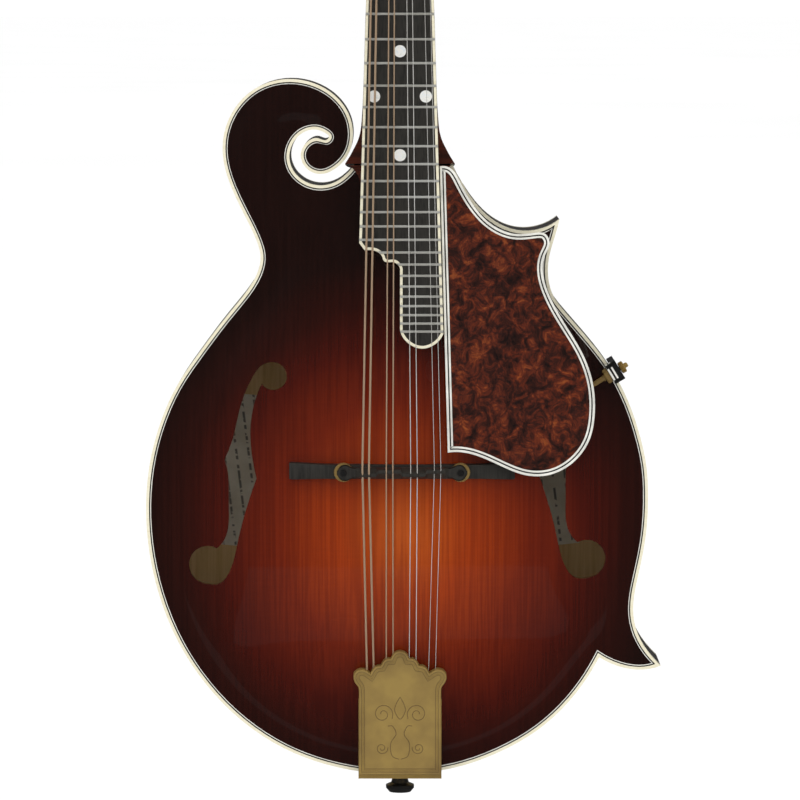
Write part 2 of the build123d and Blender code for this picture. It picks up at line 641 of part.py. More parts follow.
def body_parts(parts):
    parts["soundboard"] = arched_plate(FRONT_RIM, -TOP_RISE) - f_hole() - f_hole(mirror=True)
    parts["back_plate"] = arched_plate(BACK_RIM - PLATE, BACK_RISE)
    behind = swellings(FRONT_RIM, -TOP_RISE) + block(-130, 130, FRONT_RIM, 20, -510, -150)

    low, high = FRONT_RIM + BINDING_DEPTH, BACK_RIM - BINDING_DEPTH
    tail, scroll_foot, shoulder = (0, TAIL_Z), (-79.9, -222.1), (32.4, -215.9)
    ribs = {"rib_bass": side_strip(0, 0, RIB, low, high, tail, scroll_foot),
            "rib_tail_treble": side_strip(0, 0, RIB, low, high, None, tail)
            + side_strip(4, 0, RIB, low, high),
            "rib_upper_treble": side_strip(2, 0, RIB, low, high, shoulder, None),
            "rib_waist": side_strip(3, 0, RIB, low, high)}
    parts.update(ribs)

    head = head_block_shape()
    for rib in ribs.values():
        head -= rib
    parts["head_block"] = head - tenon()
    inner = prism(rim_face(RIB), FRONT_RIM + PLATE, BACK_RIM - PLATE)
    tail_block = inner & block(-28, 28, -40, 60, TAIL_Z, TAIL_Z + 20)
    tail_block -= rod_z(3.6, TAIL_Z, TAIL_Z + 16, 0, 12.0)
    parts["rib_bass"] -= rod_z(3.6, TAIL_Z - 5, TAIL_Z + 16, 0, 12.0)
    parts["rib_tail_treble"] -= rod_z(3.6, TAIL_Z - 5, TAIL_Z + 16, 0, 12.0)
    for x, y in TAIL_SCREWS:
        pilot = rod_z(1.3, TAIL_Z - 5, TAIL_Z + 11, x, y)
        tail_block -= pilot
        parts["rib_bass"] -= pilot
        parts["rib_tail_treble"] -= pilot
    parts["tail_block"] = tail_block
    upper = inner & rod_y(17, -40, 60, 78.6, -230.6)
    lower = inner & rod_y(24, -40, 60, 119.0, -445.0)
    parts["point_blocks"] = [upper, lower]

    linings = []
    for front, back in ((FRONT_RIM + PLATE, FRONT_RIM + PLATE + LINING_DEPTH),
                        (BACK_RIM - PLATE - LINING_DEPTH, BACK_RIM - PLATE)):
        for index, start, stop in ((0, (-29.9, -503.6), (-70.6, -241.5)), (0, (91.6, -460.4), (29.9, -502.8)),
                                   (2, (38.0, -223.6), (60.0, -236.3)), (3, (73.5, -249.5), (116.6, -414.6))):
            linings.append(side_strip(index, RIB + GLUE, RIB + LINING_WIDTH, front, back, start, stop))
    parts["linings"] = linings

    bars = []
    for side in (-1, 1):
        bar = Pos(side * 30, 0, -362) * Rot(Y=-side * 6) * block(-3, 3, -40, -9.0, -78, 78)
        bar &= swellings(FRONT_RIM + PLATE, -TOP_RISE)
        bars.append(max(bar.solids(), key=lambda one: one.volume))
    parts["tone_bars"] = bars

    parts["top_binding"] = ring_band(0, BINDING_WIDTH, FRONT_RIM, low)
    parts["top_purfling"] = ring_band(BINDING_WIDTH, RIB, FRONT_RIM, low)
    parts["back_binding"] = ring_band(0, RIB, high, BACK_RIM)
    return behind


def neck_parts(parts, behind):
    neck = neck_shaft() + headstock_core() + tenon()
    rod_hole = NECK * Pos(0, 10.0, -80) * Cylinder(2.6, 175)
    head_bits = [HEAD * rod_y(1.1, -3, 9, x, z) for x, z in COVER_SCREWS]
    parts["neck"] = neck - rod_hole - head_bits
    parts["truss_rod"] = NECK * (Pos(0, 10.0, -80) * Cylinder(2.6, 175)
                                 + Pos(0, 10.0, 7.5 + 2.6) * Cylinder(3.0, 4.4))
    parts["neck"] -= parts["truss_rod"]

    outline = head_outline()
    trim = inset(outline, 1.4)
    veneer = prism(face_of(trim), 0, VENEER)
    for x, z in head_posts():
        veneer -= rod_y(4.25, -1, 5, x, z)
    veneer -= prism(face_of([[(-4, 5), (4, 5)], [(4, 5), (4, 28), (0, 32), (-4, 28), (-4, 5)]]), -1, 7.5)
    nut_room = NECK * block(-14, 14, -5, BOARD, 0, 4.4)
    parts["headstock_veneer"] = HEAD * veneer - head_bits - nut_room
    band = prism(face_of(outline), 0, VENEER) - prism(face_of(trim), -1, 5)
    parts["headstock_binding"] = HEAD * band - nut_room
    cover = [[(-8.5, 3.5), (8.5, 3.5)], [(8.5, 3.5), (8.8, 9.0), (5.6, 17.0), (4.6, 27.0), (0, 34.5)]]
    cover.append([(-x, z) for x, z in reversed(cover[1])])
    lid = prism(face_of([run[::-1] for run in cover[::-1]]), -1.6, 0)
    parts["truss_rod_cover"] = HEAD * lid - head_bits
    parts["cover_screws"] = [HEAD * (rod_y(1.1, -1.6, 8.0, x, z) + rod_y(1.9, -2.3, -1.6, x, z))
                             for x, z in COVER_SCREWS]

    nut = prism(face_of([[(-13.1, 0), (-13.1, 4.4)], [(-13.1, 4.4), (13.1, 4.4)],
                         [(13.1, 4.4), (13.1, 0)], [(13.1, 0), (-13.1, 0)]]), -1.9, BOARD)
    nut -= Pos(0, -1.9, 5.6) * Rot(X=18) * block(-20, 20, -4, 0, -6, 6)
    nut = NECK * nut
    plan = [[(-25, JOINT_Z), (25, JOINT_Z)], [(25, JOINT_Z), (21.4, -207.6), (19.5, -216.0)],
            [(19.5, -216.0), (19.7, -241.0)], [(19.7, -241.0), (-19.7, -241.0)],
            [(-19.7, -241.0), (-19.5, -216.0)], [(-19.5, -216.0), (-21.4, -207.6), (-25, JOINT_Z)]]
    riser = prism(face_of(plan), -60, 0) - NECK * block(-60, 60, -60, BOARD, -300, 50)
    parts["neck_riser"] = riser - behind - prism(rim_face(), FRONT_RIM, 60)
    cap = block(-14, 14, BACK_RIM - 3.0, BACK_RIM, JOINT_Z, JOINT_Z + 22)
    cap &= prism(face_of([[(-14, JOINT_Z - 1), (-14, JOINT_Z + 4), (0, JOINT_Z + 17), (14, JOINT_Z + 4),
                           (14, JOINT_Z - 1)], [(14, JOINT_Z - 1), (-14, JOINT_Z - 1)]]), 0, 60)
    parts["heel_cap"] = cap

    outline = board_outline()
    trim = inset(outline, BOARD_TRIM)
    trim[0] = [(trim[0][0][0], 0), (trim[0][-1][0], 0)]
    trim[1][0], trim[-1][-1] = trim[0][-1], trim[0][0]
    board = prism(face_of(trim), 0, BOARD)
    bars, tangs = [], []
    for number in range(1, FRET_COUNT + 1):
        z = -fret_place(number)
        arc = ThreePointArc(Vector(0, 0, z - FRET_WIDE / 2), Vector(0, -FRET_HIGH, z),
                            Vector(0, 0, z + FRET_WIDE / 2))
        slice_face = make_face(arc + Line(Vector(0, 0, z + FRET_WIDE / 2), Vector(0, 0, z - FRET_WIDE / 2)))
        bars.append(Pos(-25, 0, 0) * extrude(slice_face, amount=50, dir=(1, 0, 0)))
        tangs.append(block(-25, 25, -0.1, TANG_DEEP, z - TANG_WIDE / 2, z + TANG_WIDE / 2))
    outer = prism(face_of(outline), -5, BOARD + 5)
    core = prism(face_of(trim), -0.1, BOARD)
    frets = []
    for bar, tang in zip(bars, tangs):
        frets += ((bar & outer) + (tang & core)).solids()
    board -= tangs
    dots = []
    for number, spots in ((3, (0,)), (5, (0,)), (7, (0,)), (10, (0,)), (12, (-12.7, 12.7)), (15, (0,))):
        z = -(fret_place(number) + fret_place(number - 1)) / 2
        dots += [rod_y(DOT_RADIUS, 0, 1.5, x, z) for x in spots]
    board -= dots
    parts["fretboard"] = NECK * board
    parts["fretboard_binding"] = NECK * (prism(face_of(outline), 0, BOARD) - prism(face_of(trim), -1, 9))
    parts["frets"] = [NECK * fret for fret in frets]
    parts["position_dots"] = [NECK * dot for dot in dots]
    return nut


def tuner_parts(parts):
    parts["tuner_plates"] = [tuner_plate(-1), tuner_plate(1)]
    parts["tuner_ferrules"] = [ferrule(x, z) for x, z in head_posts()]
    for number, (x, z) in enumerate(head_posts(), 1):
        parts[f"tuner_post_{number}"] = tuner_post(x, z)
        parts[f"tuner_key_{number}"] = tuner_key(x, z)


def fitting_parts(parts, behind, nut):
    wires = {(name, side): string_wire(name, side) for name in "GDAE" for side in (-1, 1)}
    parts["strings_wound"] = [wires[(name, side)] for name in "GD" for side in (-1, 1)]
    parts["strings_plain"] = [wires[(name, side)] for name in "AE" for side in (-1, 1)]
    for wire in wires.values():
        nut -= wire
    parts["nut"] = nut
    parts["bridge_base"] = bridge_base(behind)
    parts["bridge_studs"] = [saddle_stud(-1), saddle_stud(1)]
    parts["thumbwheel_bass"] = thumbwheel(-1)
    parts["thumbwheel_treble"] = thumbwheel(1)
    saddle = bridge_saddle()
    for wire in wires.values():
        saddle -= wire
    parts["bridge_saddle"] = max(saddle.solids(), key=lambda one: one.volume)
    parts["tailpiece_base"] = tailpiece_base()
    parts["tailpiece_cover"] = tailpiece_cover()
    parts["tailpiece_screws"] = tailpiece_screws()
    parts["end_pin"] = end_pin()
    parts["pickguard"] = guard_piece(2.4, 0, GUARD_FRONT, GUARD_BACK)
    parts["pickguard_binding"] = guard_piece(0, 2.4, GUARD_FRONT, GUARD_BACK)
    parts["pickguard_rod"] = guard_rod()
    parts["pickguard_clamp"] = guard_clamp()


def main():
    os.makedirs("parts", exist_ok=True)
    parts = {}
    behind = body_parts(parts)
    nut = neck_parts(parts, behind)
    tuner_parts(parts)
    fitting_parts(parts, behind, nut)
    for name, shape in parts.items():
        solids = []
        for piece in shape if isinstance(shape, list) else [shape]:
            solids += piece.solids()
        export_step(Compound(children=solids) if len(solids) > 1 else solids[0], f"parts/{name}.step")


if __name__ == "__main__":
    main()
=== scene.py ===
"""Eight-string mandolin with a scroll body, built piece by piece around its measured frame.

Lengths are in metres. X points to the treble side, Z up towards the head, and Y from the front
to the back; the middle of the nut is the origin.
"""
import json
import math

import bmesh
import bpy
import numpy as np
from bpy.props import FloatProperty, FloatVectorProperty, IntProperty, PointerProperty
from mathutils import Matrix, Vector
from mathutils.geometry import delaunay_2d_cdt

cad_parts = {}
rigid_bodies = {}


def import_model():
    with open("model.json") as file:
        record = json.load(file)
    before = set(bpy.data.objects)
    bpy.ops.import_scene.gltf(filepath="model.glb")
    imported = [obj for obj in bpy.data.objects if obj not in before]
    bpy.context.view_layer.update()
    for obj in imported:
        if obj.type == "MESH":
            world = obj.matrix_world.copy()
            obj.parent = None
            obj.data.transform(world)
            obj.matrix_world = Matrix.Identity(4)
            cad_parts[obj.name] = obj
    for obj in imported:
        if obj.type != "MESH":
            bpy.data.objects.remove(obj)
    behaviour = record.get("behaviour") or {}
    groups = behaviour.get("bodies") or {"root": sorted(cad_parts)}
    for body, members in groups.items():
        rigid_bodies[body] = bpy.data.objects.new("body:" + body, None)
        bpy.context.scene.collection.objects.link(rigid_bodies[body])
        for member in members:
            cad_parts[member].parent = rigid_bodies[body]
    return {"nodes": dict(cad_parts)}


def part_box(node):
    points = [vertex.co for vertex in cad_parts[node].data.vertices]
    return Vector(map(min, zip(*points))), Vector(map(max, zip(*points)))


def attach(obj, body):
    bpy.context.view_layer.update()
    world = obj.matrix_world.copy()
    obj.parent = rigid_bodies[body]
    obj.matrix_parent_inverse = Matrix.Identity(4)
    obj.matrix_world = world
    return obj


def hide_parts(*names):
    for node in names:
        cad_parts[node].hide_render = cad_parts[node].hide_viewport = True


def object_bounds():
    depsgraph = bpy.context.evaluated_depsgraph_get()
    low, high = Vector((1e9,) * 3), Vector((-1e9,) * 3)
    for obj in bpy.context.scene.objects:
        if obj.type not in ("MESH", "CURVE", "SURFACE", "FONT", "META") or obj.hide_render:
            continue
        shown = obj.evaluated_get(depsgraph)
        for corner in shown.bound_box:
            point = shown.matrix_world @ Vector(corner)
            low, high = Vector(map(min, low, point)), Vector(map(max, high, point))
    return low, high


for leftover in list(bpy.data.objects):
    bpy.data.objects.remove(leftover)
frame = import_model()
CAD_BOX = [list(corner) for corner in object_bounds()]

bl_info = {
    "name": "Scroll Mandolin",
    "version": (1, 0, 0),
    "blender": (4, 5, 0),
    "location": "3D View > Sidebar > Mandolin",
    "description": "Makes the pieces of a carved eight-string mandolin",
    "category": "Object",
}

MM = 0.001
FRONT_RIM, BACK_RIM = -10.5 * MM, 34.5 * MM
TOP_RISE, BACK_RISE = 15.0 * MM, 12.0 * MM
BRIDGE = sum(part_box("bridge_base"), Vector()) / 2
BRIDGE_X, BRIDGE_Z = BRIDGE.x, BRIDGE.z
NECK_TILT, HEAD_TILT = -6.0, -14.0
HEAD_SHIFT_Y, HEAD_SHIFT_Z = 3.0 * MM, 4.6 * MM
HEAD_CORE_FRONT, HEAD_CORE_BACK = 2.0 * MM, 14.5 * MM
POST_DEPTH = 17.5 * MM
WORM_DROP = 9.0
PLAIN_GAUGE = 0.5
POINTS_MEET, WELD_REACH = 0.12 * MM, 0.002 * MM
# middle of the scroll's ridge, in mm, from its tip down to where it fades into the arch
SCROLL_PATH = [(-38, -199), (-31, -196), (-29.5, -187), (-34, -177), (-44, -173), (-56, -173), (-67, -178),
               (-73.5, -188), (-74, -200), (-69, -213), (-60, -228), (-50, -243), (-38, -262)]
# x and z of each post on the head, and the gauge of its string, in mm
POSTS = [(-19.5, 30, 1.02), (-19.5, 53, 1.02), (-19.5, 76, 0.66), (-19.5, 99, 0.66),
         (19.5, 30, 0.28), (19.5, 53, 0.28), (19.5, 76, 0.41), (19.5, 99, 0.41)]
# where the bracket's rod starts and which way it runs along the top, and its depth, in mm
ROD_START, ROD_WAY, ROD_DEPTH = (94.2, -312.6), (0.855, 0.518), -16.0
made = {}


def tilted(degrees, point):
    """point turned about X"""
    a = math.radians(degrees)
    x, y, z = point
    return (x, y * math.cos(a) - z * math.sin(a), y * math.sin(a) + z * math.cos(a))


def on_neck(point):
    return tilted(NECK_TILT, point)


def off_neck(point):
    return tilted(-NECK_TILT, point)


def on_head(point):
    x, y, z = tilted(HEAD_TILT, point)
    return on_neck((x, y + HEAD_SHIFT_Y, z + HEAD_SHIFT_Z))


def off_head(point):
    x, y, z = off_neck(point)
    return tilted(-HEAD_TILT, (x, y - HEAD_SHIFT_Y, z - HEAD_SHIFT_Z))


HEAD_TURN = Matrix.Rotation(math.radians(NECK_TILT + HEAD_TILT), 4, "X")
Z_TO_Y = Matrix.Rotation(math.radians(-90), 4, "X")


# ---------- meshes ----------

def add_piece(name, verts, faces, material, body="instrument", replaces=(), slot=None, smooth=50.0):
    """a finished piece: mesh, material, body and the frame nodes it stands for"""
    mesh = bpy.data.meshes.new(name)
    mesh.from_pydata([tuple(v) for v in verts], [], [tuple(f) for f in faces])
    mesh.validate()
    mesh.update()
    return dress(name, mesh, material, body, replaces, smooth)


def dress(name, mesh, material, body="instrument", replaces=(), smooth=50.0):
    piece = bpy.data.objects.new(name, mesh)
    bpy.context.scene.collection.objects.link(piece)
    if material is not None:
        mesh.materials.clear()
        mesh.materials.append(material)
    if smooth:
        mesh.polygons.foreach_set("use_smooth", [True] * len(mesh.polygons))
        mesh.set_sharp_from_angle(angle=math.radians(smooth))
    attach(piece, body)
    if replaces:
        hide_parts(*replaces)
    return piece


def facing_loops(node, direction, least):
    """closed edges of the faces of a frame node that look along direction"""
    mesh = frame["nodes"][node].data
    toward = Vector(direction)
    spots = [tuple(round(c, 7) for c in v.co) for v in mesh.vertices]
    edges = set()
    for face in mesh.polygons:
        ring = [spots[i] for i in face.vertices]
        a, b, c = (Vector(p) for p in ring[:3])
        normal = (b - a).cross(c - a)
        if normal.length == 0 or normal.normalized().dot(toward) < least:
            continue
        for i, start in enumerate(ring):
            stop = ring[(i + 1) % len(ring)]
            if (stop, start) in edges:
                edges.discard((stop, start))
            elif start != stop:
                edges.add((start, stop))
    following = {}
    for start, stop in edges:
        following.setdefault(start, []).append(stop)
    loops = []
    while following:
        first = next(iter(following))
        ring, here = [], first
        while here in following:
            ring.append(here)
            nexts = following[here]
            there = nexts.pop()
            if not nexts:
                del following[here]
            here = there
        if here == first and len(ring) > 8:
            loops.append(ring)
    return sorted(loops, key=lambda ring: -length_round(ring))


def length_round(ring):
    return sum(math.dist(a, ring[(i + 1) % len(ring)]) for i, a in enumerate(ring))


def area_of(ring):
    return 0.5 * sum(a[0] * b[1] - b[0] * a[1] for a, b in zip(ring, ring[1:] + ring[:1]))


def thinned(ring, least):
    """a flat loop without points that nearly meet"""
    kept = []
    for point in ring:
        if not kept or math.dist(kept[-1], point) > least:
            kept.append(point)
    if math.dist(kept[0], kept[-1]) < least:
        kept.pop()
    return kept


def offset(ring, amount):
    """a flat loop moved to its inner side by amount, mitred at its corners"""
    turn = 1 if area_of(ring) > 0 else -1
    out = []
    for i, (x, z) in enumerate(ring):
        px, pz = ring[i - 1]
        nx, nz = ring[(i + 1) % len(ring)]
        a = Vector((x - px, z - pz)).normalized()
        b = Vector((nx - x, nz - z)).normalized()
        na, nb = Vector((-a.y, a.x)) * turn, Vector((-b.y, b.x)) * turn
        way = na + nb
        if way.length < 1e-6:
            way = na
        way.normalize()
        reach = amount / max(0.38, way.dot(na))
        out.append((x + way.x * reach, z + way.y * reach))
    return out


def band(rows, count, closed=False):
    """four-sided faces between rows of rings with count points each"""
    faces = []
    for k in range(rows if closed else rows - 1):
        a, b = k * count, (k + 1) % rows * count
        faces += [(a + i, a + (i + 1) % count, b + (i + 1) % count, b + i) for i in range(count)]
    return faces


def ring_piece(rings, heights, place=tuple):
    """verts and faces of a closed band through rings, each at its own height"""
    verts = [place((x, height, z)) for ring, height in zip(rings, heights) for x, z in ring]
    return outward(verts, band(len(rings), len(rings[0]), True))


def outward(verts, faces):
    """turns every face round if the shape is inside out"""
    total = 0.0
    for face in faces:
        p = [verts[i] for i in face]
        for k in range(1, len(p) - 1):
            a, b, c = Vector(p[0]), Vector(p[k]), Vector(p[k + 1])
            total += a.dot(b.cross(c))
    if total < 0:
        faces = [tuple(reversed(face)) for face in faces]
    return verts, faces


def inside(points, ring):
    """which points are inside a flat loop"""
    result = np.zeros(len(points), bool)
    x, z = points[:, 0], points[:, 1]
    for (x0, z0), (x1, z1) in zip(ring, ring[1:] + ring[:1]):
        if z0 == z1:
            continue
        rows = (z0 > z) != (z1 > z)
        result ^= rows & (x < (x1 - x0) * (z - z0) / (z1 - z0) + x0)
    return result


def near(points, ring, reach):
    """which points are closer than reach to a flat loop"""
    result = np.zeros(len(points), bool)
    for (x0, z0), (x1, z1) in zip(ring, ring[1:] + ring[:1]):
        d = np.array([x1 - x0, z1 - z0])
        share = ((points[:, 0] - x0) * d[0] + (points[:, 1] - z0) * d[1]) / max(1e-12, d @ d)
        share = np.clip(share, 0, 1)
        result |= np.hypot(points[:, 0] - x0 - share * d[0], points[:, 1] - z0 - share * d[1]) < reach
    return result


def flat_fill(rings, spacing=None):
    """triangles that fill rings[0] less the other loops, with a grid of inner points"""
    points = [p for ring in rings for p in ring]
    edges, first = [], 0
    for ring in rings:
        edges += [(first + i, first + (i + 1) % len(ring)) for i in range(len(ring))]
        first += len(ring)
    if spacing:
        xs = [p[0] for p in rings[0]]
        zs = [p[1] for p in rings[0]]
        gx = np.arange(min(xs), max(xs), spacing)
        gz = np.arange(min(zs), max(zs), spacing * 0.866)
        grid = np.array([(x + (k % 2) * spacing / 2, z) for k, z in enumerate(gz) for x in gx])
        keep = inside(grid, rings[0])
        for ring in rings[1:]:
            keep &= ~inside(grid, ring)
        grid = grid[keep]
        for ring in rings:
            grid = grid[~near(grid, ring, spacing * 0.45)]
        points += [tuple(p) for p in grid]
    verts, _, tris, _, _, _ = delaunay_2d_cdt([Vector(p) for p in points], edges, [], 0, 1e-7)
    middle = np.array([((verts[a] + verts[b] + verts[c]) / 3)[:] for a, b, c in tris])
    keep = inside(middle, rings[0])
    for ring in rings[1:]:
        keep &= ~inside(middle, ring)
    return [tuple(v) for v in verts], [tuple(t) for t, k in zip(tris, keep) if k]


def shell(spots, tris, front, back, place=tuple):
    """closes a filled flat shape between two height functions of (x, z)"""
    count = len(spots)
    verts = [place((x, height(x, z), z)) for height in (front, back) for x, z in spots]
    faces, edges = [], {}
    for a, b, c in tris:
        faces += [(a, b, c), (c + count, b + count, a + count)]
        edges.update(dict.fromkeys(((a, b), (b, c), (c, a))))
    faces += [(b, a, a + count, b + count) for a, b in edges if (b, a) not in edges]
    used = sorted({i for face in faces for i in face})
    index = {old: new for new, old in enumerate(used)}
    return outward([verts[i] for i in used], [tuple(index[i] for i in face) for face in faces])


def swept(sections):
    """closed skin through rings of equal length, with both ends filled"""
    rows, count = len(sections), len(sections[0])
    verts = [p for ring in sections for p in ring]
    faces = band(rows, count)
    faces.append(tuple(range(count))[::-1])
    faces.append(tuple(range((rows - 1) * count, rows * count)))
    return outward(verts, faces)


def capped(name, rings, heights, spacing, place=tuple):
    """a mesh through rings, each at its own height, with the first and the last filled"""
    verts = [(x, height, z) for ring, height in zip(rings, heights) for x, z in ring]
    faces = band(len(rings), len(rings[0]))
    for ring, height in ((rings[0], heights[0]), (rings[-1], heights[-1])):
        spots, tris = flat_fill([ring], spacing)
        verts, faces = join([(verts, faces), ([(x, height, z) for x, z in spots], tris)])
    mesh = bpy.data.meshes.new(name)
    mesh.from_pydata([place(v) for v in verts], [], faces)
    work = bmesh.new()
    work.from_mesh(mesh)
    bmesh.ops.remove_doubles(work, verts=work.verts, dist=WELD_REACH)
    bmesh.ops.recalc_face_normals(work, faces=work.faces)
    work.to_mesh(mesh)
    work.free()
    return mesh


def angles(count):
    return [2 * math.pi * k / count for k in range(count)]


def eased(value, power):
    """a sine or cosine raised to a power with its sign kept: under 1 it squares a circle up"""
    return math.copysign(abs(value) ** power, value)


def turned(profile, count, centre, axis="Y"):
    """a lathe shape; profile holds (distance along the axis, radius)"""
    sections = []
    for along, radius in profile:
        ring = []
        for t in angles(count):
            u, v = radius * math.cos(t), radius * math.sin(t)
            offsets = {"X": (along, u, v), "Y": (u, along, v), "Z": (u, v, along)}[axis]
            ring.append(tuple(c + o for c, o in zip(centre, offsets)))
        sections.append(ring)
    return swept(sections)


def join(parts):
    verts, faces = [], []
    for some_verts, some_faces in parts:
        base = len(verts)
        verts += list(some_verts)
        faces += [tuple(i + base for i in face) for face in some_faces]
    return verts, faces


def smooth_run(points, steps=10):
    """points on a smooth curve through guide points"""
    guide = [np.array(p) for p in points]
    guide = [2 * guide[0] - guide[1], *guide, 2 * guide[-1] - guide[-2]]
    out = []
    for a, b, c, d in zip(guide, guide[1:], guide[2:], guide[3:]):
        for k in range(steps):
            t = k / steps
            out.append(0.5 * (2 * b + (c - a) * t + (2 * a - 5 * b + 4 * c - d) * t * t
                              + (3 * b - a - 3 * c + d) * t ** 3))
    return [tuple(p) for p in out] + [tuple(points[-1])]


# ---------- carved plates ----------

def around(grid):
    """mean of each cell's four neighbours"""
    return 0.25 * (np.roll(grid, 1, 0) + np.roll(grid, -1, 0) + np.roll(grid, 1, 1) + np.roll(grid, -1, 1))


class Arching:
    """height of a carved plate above its rim, from a film stretched over its outline"""
    CELL = 2.0 * MM
    FILM_ROUNDS, SMOOTH_ROUNDS = 9000, 6
    FLAT_SHARE, CROWN_POWER = 0.30, 1.8
    DIP, DIP_AT, DIP_WIDE = 0.05, 0.36, 0.12
    RIDGE, RIDGE_WIDE, RIDGE_FULL = 2.6 * MM, 8.5 * MM, 0.16
    RIDGE_FOOT, RIDGE_FADE = -285 * MM, 50 * MM
    EDGE_SHARE = 0.10

    def __init__(self, ring, rise):
        step = self.CELL
        xs, zs = [p[0] for p in ring], [p[1] for p in ring]
        self.x0, self.z0 = min(xs) - 2 * step, min(zs) - 2 * step
        wide = int((max(xs) - self.x0) / step) + 4
        tall = int((max(zs) - self.z0) / step) + 4
        grid = np.array([(self.x0 + i * step, self.z0 + k * step) for k in range(tall) for i in range(wide)])
        mask = inside(grid, ring).reshape(tall, wide)
        film = np.zeros((tall, wide))
        for _ in range(self.FILM_ROUNDS):
            film = np.where(mask, around(film) + 0.25, 0.0)
        share = np.sqrt(film / film.max())
        lift = np.clip((share - self.FLAT_SHARE) / (1 - self.FLAT_SHARE), 0, 1) ** self.CROWN_POWER * rise
        dip = self.DIP * rise * np.exp(-((share - self.DIP_AT) / self.DIP_WIDE) ** 2) * mask
        gx, gz = (grid[:, axis].reshape(tall, wide) for axis in (0, 1))
        path = smooth_run([(x * MM, z * MM) for x, z in SCROLL_PATH], 5)
        apart = np.min([np.hypot(gx - x, gz - z) for x, z in path], axis=0)
        ridge = self.RIDGE * np.exp(-(apart / self.RIDGE_WIDE) ** 2) * np.clip(share / self.RIDGE_FULL, 0, 1)
        ridge *= np.clip((gz - self.RIDGE_FOOT) / self.RIDGE_FADE, 0, 1)
        height = lift - dip + ridge
        for _ in range(self.SMOOTH_ROUNDS):
            height = 0.5 * height + 0.5 * around(height)
        self.height = height * np.clip(share / self.EDGE_SHARE, 0, 1)

    def __call__(self, x, z):
        u, v = (x - self.x0) / self.CELL, (z - self.z0) / self.CELL
        i, k = int(u), int(v)
        rows, columns = self.height.shape
        i, k = min(max(i, 0), columns - 2), min(max(k, 0), rows - 2)
        u, v = u - i, v - k
        low, high = (self.height[row, i] * (1 - u) + self.height[row, i + 1] * u for row in (k, k + 1))
        return float(low * (1 - v) + high * v)


def flat(ring, least=POINTS_MEET):
    """the same loop seen from the front"""
    return thinned([(p[0], p[2]) for p in ring], least)


def top_outline():
    if "top" not in made:
        loops = [flat(ring) for ring in facing_loops("soundboard", (0, -1, 0), 0.3)]
        made["top"] = loops[0], loops[1:3]
        made["arch"] = Arching(loops[0], TOP_RISE)
    return made["top"]


def arch(x, z):
    top_outline()
    return FRONT_RIM - made["arch"](x, z)


# ---------- finishes ----------

class Finish:
    """a material's nodes, put together from the surface backwards"""

    def __init__(self, name, **values):
        self.material = bpy.data.materials.new(name)
        self.material.use_nodes = True
        self.tree = self.material.node_tree
        self.surface = self.tree.nodes["Principled BSDF"]
        for key, value in values.items():
            self.surface.inputs[key.replace("_", " ")].default_value = value

    def node(self, kind, **links):
        made_node = self.tree.nodes.new("ShaderNode" + kind)
        for key, value in links.items():
            self.put(made_node.inputs[key], value)
        return made_node

    def put(self, socket, value):
        if isinstance(value, bpy.types.NodeSocket):
            self.tree.links.new(value, socket)
        else:
            socket.default_value = value

    def spot(self, scale=(1, 1, 1), location=(0, 0, 0), rotation=(0, 0, 0)):
        place = self.node("TexCoord").outputs["Object"]
        mapping = self.node("Mapping", Vector=place, Scale=scale, Location=location, Rotation=rotation)
        return mapping.outputs["Vector"]

    def noise(self, vector, scale, detail=3.0, rough=0.5, twist=0.0):
        found = self.node("TexNoise", Vector=vector, Scale=scale, Detail=detail, Roughness=rough,
                          Distortion=twist)
        return found.outputs["Fac"]

    def cloud(self, scale, detail=3.0, rough=0.5, twist=0.0):
        return self.noise(self.spot(), scale, detail, rough, twist)

    def drawn(self, scale, detail=3.0, rough=0.5, twist=0.0, rotation=(0, 0, 0)):
        """noise drawn out along the axes whose scales are small"""
        return self.noise(self.spot(scale=scale, rotation=rotation), 1.0, detail, rough, twist)

    def bands(self, direction, scale, rotation=(0, 0, 0)):
        """the shading of evenly spaced bands"""
        found = self.node("TexWave", Scale=scale, Vector=self.spot(rotation=rotation))
        found.bands_direction = direction
        return found.outputs["Fac"]

    def mask(self, value, low, high):
        return self.ramp(value, [(low, (0, 0, 0)), (high, (1, 1, 1))])

    def tinted(self, colour, tint):
        return self.mix(1.0, colour, tint, "MULTIPLY")

    def vector(self, job, *values):
        found = self.node("VectorMath")
        found.operation = job
        for socket, value in zip(found.inputs, values):
            self.put(socket, value)
        return found.outputs

    def ramp(self, value, stops):
        found = self.node("ValToRGB", Fac=value)
        ends = found.color_ramp.elements
        while len(ends) < len(stops):
            ends.new(0.5)
        for end, (place, colour) in zip(ends, stops):
            end.position = place
            end.color = (*colour, 1) if len(colour) == 3 else colour
        return found.outputs["Color"]

    def math(self, job, a, b=0.0):
        found = self.tree.nodes.new("ShaderNodeMath")
        found.operation = job
        self.put(found.inputs[0], a)
        self.put(found.inputs[1], b)
        return found.outputs[0]

    def mix(self, share, a, b, job="MIX"):
        found = self.tree.nodes.new("ShaderNodeMix")
        found.data_type = "RGBA"
        found.blend_type = job
        self.put(found.inputs["Factor"], share)
        for socket, value in ((found.inputs[6], a), (found.inputs[7], b)):
            self.put(socket, (*value, 1) if isinstance(value, tuple) and len(value) == 3 else value)
        return found.outputs[2]

    def bump(self, height, strength, distance=0.0003):
        found = self.node("Bump", Height=height, Strength=strength, Distance=distance)
        self.put(self.surface.inputs["Normal"], found.outputs["Normal"])

    def paint(self, colour=None, rough=None):
        if colour is not None:
            self.put(self.surface.inputs["Base Color"], colour)
        if rough is not None:
            self.put(self.surface.inputs["Roughness"], rough)
        return self.material

    def levels(self, value, low, high):
        found = self.node("MapRange", Value=value)
        found.inputs["To Min"].default_value = low
        found.inputs["To Max"].default_value = high
        return found.outputs["Result"]


